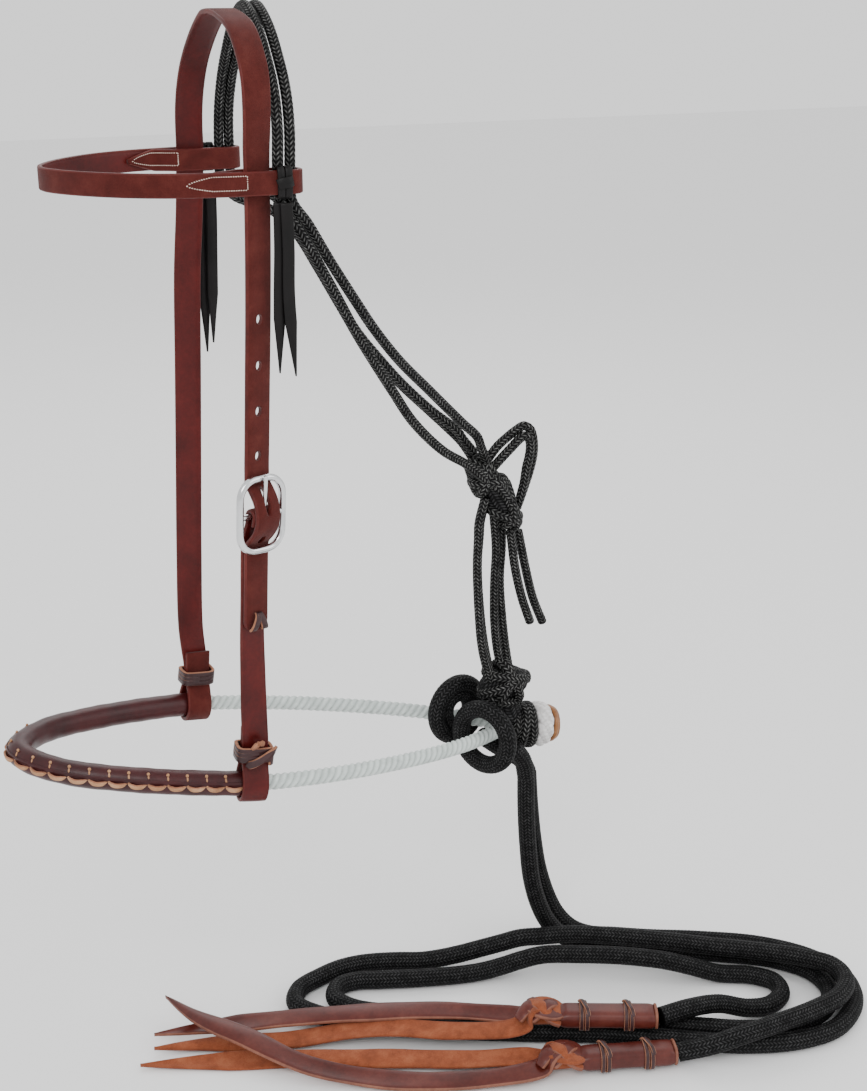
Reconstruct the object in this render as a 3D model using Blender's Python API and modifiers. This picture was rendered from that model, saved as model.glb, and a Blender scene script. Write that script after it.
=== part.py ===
"""Bitless hackamore: leather headstall, rope noseband, fiador and two reins.

Metres, +Z up.  The origin is on the underside of the crown strap, where it rests on the poll.
-X is the nose, +X the heel and throat, -Y the near (left) side and +Y the off (right) side.
"""
import math

import bpy
import bmesh
from mathutils import Matrix, Vector

# ---- driving dimensions (metres) --------------------------------------------------------------
STRAP_W, STRAP_T = 0.0160, 0.0028          # crown and cheek leather
CHAPE_T = 0.0024                           # near cheek leather, thinned where it turns the buckle
BROW_W, BROW_T = 0.0127, 0.0026            # browband leather
LEG_Y = 0.062                              # a crown leg's distance from the middle plane
LEG_TWIST = math.radians(18)               # the legs turn their fronts outward
ARCH_Z = -0.075                            # where the crown's arch meets its legs
LEAN_TOP_Z, LEAN = -0.090, 0.048           # below this height the legs lean towards the nose
BOW = {-1: 0.0008, 1: -0.0026}             # each leg's sag out of its straight line

NOSE_Z, NOSE_TILT = -0.4366, -0.149        # height of the noseband at X = 0, and its slope
NOSE_Y = 0.060                             # half width of the noseband at the cheeks
ROPE_R = 0.00475                           # white noseband rope, 3/8 in
COVER_IN, COVER_OUT = 0.0051, 0.0075       # leather cover on the nose
LOOP_R = 0.0095                            # cheek strap's mid line round the noseband
CHEEK_X = -0.0165                          # where the cheeks meet the noseband
CHEEK_Z = NOSE_Z + NOSE_TILT * CHEEK_X
NOSE_SPLAY = 0.075                         # how fast the noseband widens past the cheeks

BAR_Z, BAR_OUT = -0.2645, 0.0046           # buckle centre bar: height, and distance outside a leg
BAR_R, WIRE_R = 0.0017, 0.0021
BUCKLE_W, BUCKLE_H = 0.0288, 0.0418        # between wire centres
HOLE_PITCH, FIRST_HOLE_Z = 0.0254, -0.1553
HOLE_W, HOLE_H = 0.0040, 0.0056

CORD_R = 0.0031                            # fiador cord, 1/4 in
REIN_R = 0.0061                            # reins, 1/2 in rope less the play between its turns
FLOOR_Z = -0.635
FLAT = 0.006                               # half length of the flat under the crown's top
GAP = 0.0003

NAME = "bitless_hackamore"


# ---- helpers ------------------------------------------------------------------------------------
def material(name, colour, roughness, metallic=0.0):
    made = bpy.data.materials.new(name)
    made.use_nodes = True
    shader = made.node_tree.nodes["Principled BSDF"]
    shader.inputs["Base Color"].default_value = (*colour, 1.0)
    shader.inputs["Roughness"].default_value = roughness
    shader.inputs["Metallic"].default_value = metallic
    return made


def smooth(points, spacing):
    """Evenly spaced points on the centripetal Catmull-Rom curve through the given ones."""
    given = [Vector(p) for p in points]
    given = [2 * given[0] - given[1]] + given + [2 * given[-1] - given[-2]]
    fine = []
    for p0, p1, p2, p3 in zip(given, given[1:], given[2:], given[3:]):
        t1 = (p1 - p0).length ** 0.5
        t2 = t1 + (p2 - p1).length ** 0.5
        t3 = t2 + (p3 - p2).length ** 0.5
        for k in range(12):
            t = t1 + (t2 - t1) * k / 12
            a1 = p0 * ((t1 - t) / t1) + p1 * (t / t1)
            a2 = p1 * ((t2 - t) / (t2 - t1)) + p2 * ((t - t1) / (t2 - t1))
            a3 = p2 * ((t3 - t) / (t3 - t2)) + p3 * ((t - t2) / (t3 - t2))
            b1 = a1 * ((t2 - t) / t2) + a2 * (t / t2)
            b2 = a2 * ((t3 - t) / (t3 - t1)) + a3 * ((t - t1) / (t3 - t1))
            fine.append(b1 * ((t2 - t) / (t2 - t1)) + b2 * ((t - t1) / (t2 - t1)))
    fine.append(given[-2])
    reach = [0.0]
    for a, b in zip(fine, fine[1:]):
        reach.append(reach[-1] + (b - a).length)
    count = max(2, round(reach[-1] / spacing))
    out, k = [], 0
    for i in range(count + 1):
        want = reach[-1] * i / count
        while k < len(fine) - 2 and reach[k + 1] < want:
            k += 1
        share = (want - reach[k]) / (reach[k + 1] - reach[k])
        out.append(fine[k].lerp(fine[k + 1], min(max(share, 0.0), 1.0)))
    return out


def add_object(name, data, mat, collection):
    made = bpy.data.objects.new(name, data)
    collection.objects.link(made)
    if mat:
        data.materials.append(mat)
    return made


def tube(name, points, radius, mat, parts, closed=False, resolution=2, taper=None):
    """A round cord or wire along the points."""
    curve = bpy.data.curves.new(name, "CURVE")
    curve.dimensions = "3D"
    curve.bevel_depth = radius
    curve.bevel_resolution = resolution
    curve.use_fill_caps = not closed
    spline = curve.splines.new("POLY")
    spline.points.add(len(points) - 1)
    for i, point in enumerate(points):
        spline.points[i].co = (*point, 1.0)
        spline.points[i].radius = taper(i / (len(points) - 1)) if taper else 1.0
    spline.use_cyclic_u = closed
    spline.use_smooth = True
    return add_object(name, curve, mat, parts)


def as_mesh(obj):
    """Turn a curve object into a mesh object with its caps welded."""
    bpy.context.view_layer.update()
    graph = bpy.context.evaluated_depsgraph_get()
    mesh = bpy.data.meshes.new_from_object(obj.evaluated_get(graph))
    shape = bmesh.new()
    shape.from_mesh(mesh)
    bmesh.ops.remove_doubles(shape, verts=shape.verts, dist=0.000001)
    shape.to_mesh(mesh)
    shape.free()
    name, place = obj.name, obj.matrix_world.copy()
    collection = obj.users_collection[0]
    bpy.data.objects.remove(obj)
    made = bpy.data.objects.new(name, mesh)
    collection.objects.link(made)
    made.matrix_world = place
    return made


def plate(name, outlines, thickness, place, mat, parts):
    """A flat outline (with any holes) of a thickness, laid in place by a matrix."""
    curve = bpy.data.curves.new(name, "CURVE")
    curve.dimensions = "2D"
    curve.fill_mode = "BOTH"
    curve.extrude = thickness / 2
    for outline in outlines:
        spline = curve.splines.new("POLY")
        spline.points.add(len(outline) - 1)
        for i, (x, y) in enumerate(outline):
            spline.points[i].co = (x, y, 0.0, 1.0)
        spline.use_cyclic_u = True
    made = add_object(name, curve, mat, parts)
    made.matrix_world = place
    return made


def rounded(half_x, half_y, corner, steps=5):
    """A rectangle with round corners, as points."""
    out = []
    for sx, sy, start in ((1, 1, 0), (-1, 1, 90), (-1, -1, 180), (1, -1, 270)):
        for k in range(steps + 1):
            a = math.radians(start + 90 * k / steps)
            out.append((sx * (half_x - corner) + corner * math.cos(a),
                        sy * (half_y - corner) + corner * math.sin(a)))
    return out


def ribbon(name, centres, across, width, thickness, mat, parts, tip=0.0):
    """A strap: an open strip along the centres, thickened.  tip rounds its last end."""
    mesh = bpy.data.meshes.new(name)
    shape = bmesh.new()
    rows = []
    length = sum((b - a).length for a, b in zip(centres, centres[1:]))
    done = 0.0
    for i, centre in enumerate(centres):
        if i:
            done += (centre - centres[i - 1]).length
        left = length - done
        half = width / 2
        if tip and left < tip:
            half *= max(0.25, math.sqrt(max(0.0, 1 - ((tip - left) / tip) ** 2)))
        side = across[i].normalized() * half
        rows.append([shape.verts.new(centre - side), shape.verts.new(centre),
                     shape.verts.new(centre + side)])
    for low, high in zip(rows, rows[1:]):
        for k in range(2):
            shape.faces.new((low[k], low[k + 1], high[k + 1], high[k]))
    shape.to_mesh(mesh)
    shape.free()
    made = add_object(name, mesh, mat, parts)
    solid = made.modifiers.new("thickness", "SOLIDIFY")
    solid.thickness = thickness
    solid.offset = 0.0
    return made


def cut(obj, cutter, operation="DIFFERENCE"):
    step = obj.modifiers.new(operation.lower(), "BOOLEAN")
    step.operation = operation
    step.object = cutter


def box(name, size, place, collection, mat=None):
    mesh = bpy.data.meshes.new(name)
    shape = bmesh.new()
    bmesh.ops.create_cube(shape, size=1.0)
    bmesh.ops.scale(shape, vec=size, verts=shape.verts)
    shape.to_mesh(mesh)
    shape.free()
    made = add_object(name, mesh, mat, collection)
    made.matrix_world = place
    return made


def hide_cutter(obj):
    obj.hide_render = True
    obj.display_type = "WIRE"


def ball(name, centre, radii, turn, mat, parts, segments=16, rings=8):
    """A smooth rounded lump with its own three radii."""
    mesh = bpy.data.meshes.new(name)
    shape = bmesh.new()
    bmesh.ops.create_uvsphere(shape, u_segments=segments, v_segments=rings, radius=1.0)
    bmesh.ops.scale(shape, vec=radii, verts=shape.verts)
    shape.to_mesh(mesh)
    shape.free()
    mesh.shade_smooth()
    made = add_object(name, mesh, mat, parts)
    made.matrix_world = Matrix.Translation(centre) @ turn.to_4x4()
    return made


def turn_between(x_axis, z_hint):
    """A rotation whose X follows x_axis and whose Z is as near z_hint as it can be."""
    x = Vector(x_axis).normalized()
    y = Vector(z_hint).cross(x).normalized()
    return Matrix((x, y, x.cross(y))).transposed()


# ---- the headstall's shape ----------------------------------------------------------------------
def lean_x(z, side):
    """How far towards the heel a leg's middle line lies at a height."""
    full = min(1.0, max(0.0, (LEAN_TOP_Z - z) / 0.05)) * min(1.0, max(0.0, (z + 0.415) / 0.05))
    return -LEAN * max(0.0, LEAN_TOP_Z - z) + BOW[side] * full


def strap_across(z, side):
    """Width direction of a leg at a height; side is -1 near, +1 off."""
    twist = min(1.0, z / ARCH_Z) if z < 0 else 0.0
    low = min(1.0, max(0.0, (-0.330 - z) / 0.080))
    turn = LEG_TWIST * twist
    leg = Vector((math.cos(turn), -side * math.sin(turn), 0.0))
    return leg.lerp(Vector((1.0, side * NOSE_SPLAY, NOSE_TILT)), low)


def loop_round_noseband(side):
    """The cheek strap's middle line round the noseband, from its inner end."""
    places = [(-0.0018, 0.0370), (-0.0018, 0.0270), (-0.0018, 0.0200)]
    for degrees in range(154, 387, 29):
        a = math.radians(degrees)
        places.append((LOOP_R * math.cos(a), LOOP_R * math.sin(a)))
    places += [(0.0018, 0.0200), (0.0019, 0.0270)]
    points = []
    for out, up in places:
        rise = up if up < 0.010 else 0.010 + (up - 0.010) * 0.45
        x = CHEEK_X - NOSE_TILT * rise - NOSE_SPLAY * out
        points.append(Vector((x, side * (NOSE_Y + out), CHEEK_Z + up)))
    return points


ARCH = [(0.0617, -0.0655), (0.0603, -0.0560), (0.0575, -0.0475), (0.0532, -0.0393),
        (0.0468, -0.0305), (0.0388, -0.0222), (0.0300, -0.0143), (0.0213, -0.0072),
        (0.0140, -0.0020), (0.0097, 0.0006), (FLAT, STRAP_T / 2)]
NEAR_ARCH = [(0.0628, -0.0655), (0.0645, -0.0560), (0.0656, -0.0463), (0.0658, -0.0385),
             (0.0650, -0.0315), (0.0622, -0.0244), (0.0570, -0.0173), (0.0525, -0.0126),
             (0.0465, -0.0079), (0.0389, -0.0042), (0.0260, -0.0010), (0.0160, 0.0007),
             (0.0100, 0.00135), (FLAT, STRAP_T / 2)]


def leg_frame(z):
    """Turn of the near leg at a height: X across it, Y up along it, Z outward."""
    up = Vector((LEAN, 0.0, 1.0)).normalized()
    across = strap_across(z, -1)
    across = (across - up * across.dot(up)).normalized()
    return Matrix((across, up, across.cross(up))).transposed().to_4x4()


def near_leg(out, z):
    """A point of the near leg, a distance outside its own plane."""
    x = lean_x(z, -1) + out * math.sin(LEG_TWIST)
    return Vector((x, -LEG_Y - out * math.cos(LEG_TWIST), z))


def make_crown_strap(leather, parts, cutters):
    line = [Vector((0, LEG_Y, z)) for z in (-0.380, -0.330, -0.270, -0.210, -0.150, -0.110)]
    line += [Vector((0, LEG_Y, ARCH_Z))]
    line += [Vector((0, y, z)) for y, z in ARCH]
    line += [Vector((0, -y, z)) for y, z in reversed(NEAR_ARCH)]
    line += [Vector((0, -LEG_Y, z)) for z in (ARCH_Z, -0.110, -0.150, -0.190, -0.225)]
    for point in line:
        point.x = lean_x(point.z, 1 if point.y > 0 else -1)
    hump = [(0.0, 0.0240), (0.0006, 0.0180), (0.0046, 0.0136), (0.0085, 0.0088),
            (0.0104, 0.0040), (0.0109, 0.0), (0.0104, -0.0040), (0.0085, -0.0088),
            (0.0046, -0.0136), (0.0006, -0.0180), (0.0, -0.0240), (0.0, -0.0300),
            (0.0, -0.0500), (0.0, -0.0715)]
    line += [near_leg(out, BAR_Z + up) for out, up in hump]
    line = loop_round_noseband(+1) + line
    across = [strap_across(p.z, 1 if p.y > 0 else -1) for p in line]
    strap = ribbon("crown_strap", line, across, STRAP_W, STRAP_T, leather, parts, tip=0.006)
    for k in range(4):
        z = FIRST_HOLE_Z - k * HOLE_PITCH
        place = Matrix.Translation(near_leg(0, z)) @ leg_frame(z)
        punch_hole(strap, "crown_hole_%d" % (k + 1), HOLE_W, HOLE_H, place, cutters)
    turn = leg_frame(BAR_Z)
    spot = near_leg(0.0042, BAR_Z - 0.0148)
    punch_hole(strap, "crown_spare_hole", HOLE_W, HOLE_H, Matrix.Translation(spot) @ turn, cutters)
    spot = near_leg(0.0060, BAR_Z + 0.0085)
    punch_hole(strap, "crown_tongue_hole", 0.0036, 0.0152, Matrix.Translation(spot) @ turn, cutters)


def punch_hole(strap, name, width, height, place, cutters):
    outline = rounded(width / 2, height / 2, width / 2 - 0.00001, steps=3)
    punch = as_mesh(plate(name, [outline], 0.024, place, None, cutters))
    hide_cutter(punch)
    cut(strap, punch)


def make_near_cheek(leather, parts, cutters):
    path = [near_leg(-0.0004, -0.385), near_leg(-0.0024, -0.358), near_leg(-0.0032, -0.340),
            near_leg(-0.0032, -0.315)]
    chape = [(-0.0033, -0.0300), (-0.0031, -0.0210), (-0.0024, -0.0150), (-0.0006, -0.0090),
             (0.0010, -0.0045)]
    for degrees in range(180, -31, -21):
        a = math.radians(degrees)
        chape.append((BAR_OUT + 0.0033 * math.cos(a), 0.0033 * math.sin(a)))
    chape.append((0.0067, -0.0056))
    path += [near_leg(out, BAR_Z + up) for out, up in chape]
    path = loop_round_noseband(-1) + path
    across = [strap_across(p.z, -1) for p in path]
    strap = ribbon("near_cheek_strap", path, across, STRAP_W, CHAPE_T, leather, parts)
    slot = box("tongue_slot", (0.0036, 0.0096, 0.0100),
               Matrix.Translation(near_leg(BAR_OUT, BAR_Z + 0.0002)) @ leg_frame(BAR_Z), cutters)
    hide_cutter(slot)
    cut(strap, slot)


def make_buckle(steel, parts, cutters):
    place = Matrix.Translation(near_leg(BAR_OUT, BAR_Z)) @ leg_frame(BAR_Z)
    ring = [Vector((x, y, 0.0)) for x, y in rounded(BUCKLE_W / 2, BUCKLE_H / 2, 0.0105, steps=6)]
    frame = as_mesh(tube("buckle_frame", ring, WIRE_R, steel, parts, closed=True))
    bar = as_mesh(tube("buckle_bar", [Vector((-BUCKLE_W / 2, 0, 0)), Vector((BUCKLE_W / 2, 0, 0))],
                       BAR_R, None, cutters))
    for piece in (frame, bar):
        piece.matrix_world = place
    hide_cutter(bar)
    cut(frame, bar, "UNION")
    path = [Vector((0.0, 0.0031 * math.sin(math.radians(a)), 0.0031 * math.cos(math.radians(a))))
            for a in range(100, 396, 20)]
    path += [Vector((0.0, 0.0060, 0.0030)), Vector((0.0, 0.0235, 0.0039))]
    tongue = tube("buckle_tongue", path, 0.0011, steel, parts)
    tongue.matrix_world = place


def make_band(name, centre, across, up, inner, outer, height, mat, parts, corner=0.0012):
    """A closed wrap round a strap: a rounded frame of inner and outer half sizes."""
    x = Vector(across).normalized()
    z = Vector(up).normalized()
    y = z.cross(x).normalized()
    turn = Matrix((x, y, x.cross(y))).transposed().to_4x4()
    outlines = [rounded(*outer, corner * 2.5), rounded(*inner, corner)]
    band = as_mesh(plate(name, outlines, height, Matrix.Translation(centre) @ turn, mat, parts))
    soften = band.modifiers.new("soft_edges", "BEVEL")
    soften.width = 0.0007
    soften.segments = 1
    soften.limit_method = "ANGLE"
    return band


def make_cheek_laces(lace, parts):
    for side, name, wide in ((-1, "near_cheek_lace", 0.0140), (1, "off_cheek_lace", 0.0122)):
        z = CHEEK_Z + 0.0205
        neck = loop_round_noseband(side)[-2]
        centre = Vector((neck.x, side * NOSE_Y, z))
        make_band(name, centre, (1, side * NOSE_SPLAY, NOSE_TILT), (0.1, 0, 1),
                  (0.0088, 0.0066), (wide, 0.0094), 0.0120, lace, parts)
    centre = near_leg(0.0014 + 0.0022 + GAP, -0.3290)
    ball("billet_lace_knot", centre, (0.0046, 0.0060, 0.0022), leg_frame(-0.329).to_3x3(), lace,
         parts, 12, 6)


# ---- noseband -----------------------------------------------------------------------------------
NOSE_HALF = [(-0.1405, 0.0), (-0.1380, 0.0090), (-0.1320, 0.0180), (-0.1225, 0.0272),
             (-0.1120, 0.0342), (-0.0910, 0.0430), (-0.0690, 0.0500), (-0.0450, 0.0556),
             (CHEEK_X, NOSE_Y), (0.0010, 0.0598), (0.0270, 0.0572), (0.0553, 0.0525),
             (0.0856, 0.0452), (0.1186, 0.0350), (0.1420, 0.0254), (0.1600, 0.0160),
             (0.1740, 0.0080), (0.1812, 0.0054)]


def on_noseband(x, y):
    return Vector((x, y, NOSE_Z + NOSE_TILT * x))


def noseband_line(last_x):
    """Centre line from the near side's last_x round the nose to the off side's."""
    half = [(x, y) for x, y in NOSE_HALF if x < last_x]
    ahead = next((x, y) for x, y in NOSE_HALF if x >= last_x)
    share = (last_x - half[-1][0]) / (ahead[0] - half[-1][0])
    half.append((last_x, half[-1][1] + share * (ahead[1] - half[-1][1])))
    near = [on_noseband(x, -y) for x, y in reversed(half)]
    return near + [on_noseband(x, y) for x, y in half[1:]]


def make_noseband(rope, leather, lace, parts):
    whole = smooth(noseband_line(0.1812), 0.0100)
    tube("noseband_rope", whole, ROPE_R, rope, parts, resolution=2)
    front = [p for p in whole if p.x < CHEEK_X + 0.008]
    skin = tube("noseband_cover", front, COVER_OUT, leather, parts, resolution=2)
    skin.data.use_fill_caps = False
    cover = as_mesh(skin)
    wall = cover.modifiers.new("wall", "SOLIDIFY")
    wall.thickness = COVER_OUT - COVER_IN
    wall.offset = -1.0
    line = smooth(noseband_line(-0.0300), 0.0110)
    near = line[:1 + len(line) // 2 - 1]
    up = Vector((0, 0, 1))
    path = []
    for a, b in zip(near, near[1:]):
        outward = (b - a).cross(up).normalized()
        if outward.y > 0 and a.x > -0.12:
            outward = -outward
        path.append(a - (b - a).cross(up).normalized() * (COVER_OUT + 0.0016 + GAP))
    tube("noseband_lacing", path, 0.0015, lace, parts, resolution=2)


def make_heel(rope, black, amber, parts):
    down = Vector((1, 0, NOSE_TILT))
    turn = turn_between(down, (0, 0, 1))
    collar = [(0.0135, -0.0095), (0.0160, -0.0055), (0.0165, 0.0), (0.0160, 0.0055),
              (0.0135, 0.0095)]
    turned_knot("heel_collar", on_noseband(0.1930, 0.0), turn, collar, black, parts)
    button = [(0.0125, -0.0055), (0.0158, -0.0025), (0.0158, 0.0025), (0.0125, 0.0055)]
    turned_knot("heel_button", on_noseband(0.2088, 0.0), turn, button, rope, parts)
    cap = [(0.0128, -0.0036), (0.0142, 0.0), (0.0118, 0.0036)]
    turned_knot("heel_cap", on_noseband(0.2184, 0.0), turn, cap, amber, parts)


def turned_knot(name, centre, turn, profile, mat, parts):
    """A body turned about the heel's axis from (radius, place along the axis) points."""
    mesh = bpy.data.meshes.new(name)
    shape = bmesh.new()
    ends = [(0.0, profile[-1][1])] + list(reversed(profile)) + [(0.0, profile[0][1])]
    verts = [shape.verts.new((r, 0.0, z)) for r, z in ends]
    for a, b in zip(verts, verts[1:]):
        shape.edges.new((a, b))
    shape.to_mesh(mesh)
    shape.free()
    made = add_object(name, mesh, mat, parts)
    screw = made.modifiers.new("turn", "SCREW")
    screw.steps = 20
    screw.render_steps = 20
    screw.use_merge_vertices = True
    screw.merge_threshold = 0.00001
    screw.use_smooth_shade = True
    lay = Matrix.Rotation(math.radians(90), 4, "Y")
    made.matrix_world = Matrix.Translation(centre) @ turn.to_4x4() @ lay
    return made


# ---- browband and its ties ------------------------------------------------------------------------
BROW_Z = -0.083
BROW_OUT, BROW_IN = 0.0685, 0.0555
LOOP_X = {-1: 0.0172, 1: 0.0225}


def brow_side(side):
    """(X, distance from the middle plane) of one side: folded end, loop, then on to the front."""
    loop_x = LOOP_X[side]
    mid, radius = (BROW_OUT + BROW_IN) / 2, (BROW_OUT - BROW_IN) / 2
    points = [(-0.0380, 0.0598), (-0.0300, 0.0617), (-0.0215, 0.0617), (-0.0150, 0.0586),
              (-0.0100, 0.0560), (-0.0020, BROW_IN), (0.0080, BROW_IN), (loop_x, BROW_IN)]
    for degrees in (-60, -30, 0, 30, 60):
        a = math.radians(degrees)
        points.append((loop_x + radius * math.cos(a), mid + radius * math.sin(a)))
    points += [(loop_x, BROW_OUT), (0.0080, BROW_OUT), (-0.0020, BROW_OUT), (-0.0120, 0.0679),
               (-0.0240, 0.0660), (-0.0380, 0.0627), (-0.0520, 0.0572), (-0.0650, 0.0496),
               (-0.0765, 0.0400), (-0.0865, 0.0292), (-0.0940, 0.0182), (-0.0985, 0.0085)]
    return points


def make_browband(leather, parts):
    near = [Vector((x, -y, BROW_Z)) for x, y in brow_side(-1)]
    off = [Vector((x, y, BROW_Z)) for x, y in brow_side(1)]
    line = near + [Vector((-0.0997, 0.0, BROW_Z))] + list(reversed(off))
    across = [Vector((0, 0, 1))] * len(line)
    ribbon("browband", line, across, BROW_W, BROW_T, leather, parts)


def make_ties(lace, parts):
    """A lace wrapped round each browband end, with two hanging tails."""
    tails = {-1: ((0.0130, 0.0132, 0.0162, 0.094), (0.0098, 0.0086, 0.0078, 0.092)),
             1: ((0.0085, 0.0070, 0.0065, 0.108), (0.0135, 0.0122, 0.0100, 0.102))}
    for side, word in ((-1, "near"), (1, "off")):
        x = 0.0125 if side < 0 else 0.0115
        make_band(word + "_tie_wrap", Vector((x, side * BROW_OUT, BROW_Z)), (0, 1, 0), (1, 0, 0),
                  (0.0016, 0.0067), (0.0031, 0.0092), 0.0085, lace, parts, 0.0006)
        out = BROW_OUT + 0.0018
        for letter, (top, middle, foot, drop) in zip("ab", tails[side]):
            layer = 0.0 if letter == "a" else 0.0022
            z_top = BROW_Z - 0.0102
            y = side * (out - layer)
            points = [Vector((top, y, z_top - GAP)),
                      Vector((middle, y - side * 0.0008, z_top - 0.050)),
                      Vector((foot, y - side * 0.0020, z_top - drop))]
            path = smooth(points, 0.012)
            strip = ribbon("%s_tie_tail_%s" % (word, letter), path,
                           [Vector((1, 0.1 * side, 0))] * len(path), 0.0066, 0.0014, lace, parts,
                           tip=0.030)
            put_origin(strip, Vector((top, y, z_top)))


def put_origin(obj, point):
    """Move an object's origin to its joint without moving its shape."""
    obj.data.transform(Matrix.Translation(-point))
    obj.location = point


# ---- fiador -------------------------------------------------------------------------------------
def make_fiador(black, parts):
    """Two cord strands over the poll, knotted at the throat, then down to the heel."""
    poll = {
        "a": [(0.1560, -0.0085, -0.2540), (0.1433, -0.0125, -0.2421), (0.1166, -0.0221, -0.2164),
              (0.0929, -0.0319, -0.1936), (0.0749, -0.0393, -0.1727), (0.0606, -0.0452, -0.1532),
              (0.0431, -0.0524, -0.1284), (0.0290, -0.0582, -0.1070), (0.0190, -0.0616, -0.0935),
              (0.0185, -0.0618, -0.0780), (0.0193, -0.0606, -0.0570), (0.0203, -0.0540, -0.0390),
              (0.0213, -0.0400, -0.0213), (0.0222, -0.0222, -0.0056), (0.0230, 0.0, 0.0036),
              (0.0240, 0.0222, -0.0056), (0.0245, 0.0400, -0.0213), (0.0246, 0.0540, -0.0390),
              (0.0242, 0.0606, -0.0570), (0.0241, 0.0618, -0.0780), (0.0248, 0.0612, -0.0935),
              (0.0320, 0.0580, -0.1010), (0.0453, 0.0528, -0.1045), (0.0585, 0.0466, -0.1212),
              (0.0698, 0.0404, -0.1452), (0.0813, 0.0342, -0.1696), (0.0904, 0.0280, -0.1880),
              (0.1030, 0.0218, -0.2055), (0.1137, 0.0160, -0.2192), (0.1315, 0.0100, -0.2377),
              (0.1480, 0.0050, -0.2520)],
        "b": [(0.1478, -0.0110, -0.2704), (0.1273, -0.0186, -0.2565), (0.1036, -0.0274, -0.2332),
              (0.0881, -0.0339, -0.2117), (0.0739, -0.0397, -0.1912), (0.0602, -0.0454, -0.1705),
              (0.0492, -0.0499, -0.1519), (0.0345, -0.0559, -0.1277), (0.0225, -0.0606, -0.1090),
              (0.0138, -0.0616, -0.0970), (0.0118, -0.0618, -0.0780), (0.0126, -0.0606, -0.0570),
              (0.0136, -0.0540, -0.0390), (0.0146, -0.0400, -0.0213), (0.0155, -0.0222, -0.0056),
              (0.0164, 0.0, 0.0036), (0.0173, 0.0222, -0.0056), (0.0181, 0.0400, -0.0213),
              (0.0185, 0.0540, -0.0390), (0.0182, 0.0606, -0.0570), (0.0177, 0.0618, -0.0780),
              (0.0184, 0.0622, -0.0960), (0.0260, 0.0630, -0.1060), (0.0370, 0.0620, -0.1110),
              (0.0490, 0.0588, -0.1160), (0.0611, 0.0528, -0.1290), (0.0724, 0.0464, -0.1500),
              (0.0839, 0.0402, -0.1730), (0.0930, 0.0340, -0.1910), (0.1056, 0.0280, -0.2085),
              (0.1163, 0.0226, -0.2222), (0.1345, 0.0166, -0.2410), (0.1490, 0.0120, -0.2560)],
    }
    for letter, route in poll.items():
        tube("fiador_poll_strand_" + letter, smooth(route, 0.0120), CORD_R, black, parts)
    level = Matrix.Identity(3)
    knot_turn = Matrix.Rotation(math.radians(57.5), 3, "Y")
    ball("fiador_throat_knot", (0.1724, 0.0, -0.2949), (0.0330, 0.0125, 0.0125), knot_turn, black,
         parts)
    bight = [(0.1775, 0.0, -0.2672), (0.1834, 0.0, -0.2625), (0.1928, 0.0, -0.2562),
             (0.1982, 0.0, -0.2600), (0.1996, 0.0, -0.2689), (0.1977, 0.0, -0.2811),
             (0.1945, 0.0, -0.2930)]
    tube("fiador_bight", smooth(bight, 0.0080), 0.0050, black, parts, resolution=3)
    risers = {"near": (0.0043, [(0.1605, -0.0030, -0.3130), (0.1600, -0.0030, -0.3230),
                                (0.1593, -0.0030, -0.3435), (0.1614, -0.0030, -0.3762),
                                (0.1640, -0.0030, -0.4000), (0.1680, -0.0028, -0.4120)]),
              "off": (0.0050, [(0.1772, 0.0030, -0.3245), (0.1779, 0.0030, -0.3350),
                               (0.1774, 0.0030, -0.3576), (0.1789, 0.0030, -0.3864),
                               (0.1812, 0.0030, -0.4080)])}
    for word, (radius, riser) in risers.items():
        tube("fiador_riser_" + word, smooth(riser, 0.0120), radius, black, parts)
    tails = {"near": [(0.1838, -0.0040, -0.3285), (0.1866, -0.0040, -0.3472),
                      (0.1920, -0.0040, -0.3693), (0.1992, -0.0040, -0.3897)],
             "off": [(0.1941, 0.0040, -0.3323), (0.1985, 0.0040, -0.3519),
                     (0.2045, 0.0040, -0.3744), (0.2130, 0.0040, -0.3950)]}
    for word, tail in tails.items():
        start = Vector(tail[0])
        end = tube("fiador_tail_" + word, smooth([Vector(p) - start for p in tail], 0.0120),
                   CORD_R, black, parts)
        end.location = start
    ball("fiador_heel_knot", (0.1815, 0.0, -0.4320), (0.0200, 0.0145, 0.0180), level, black, parts)


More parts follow.
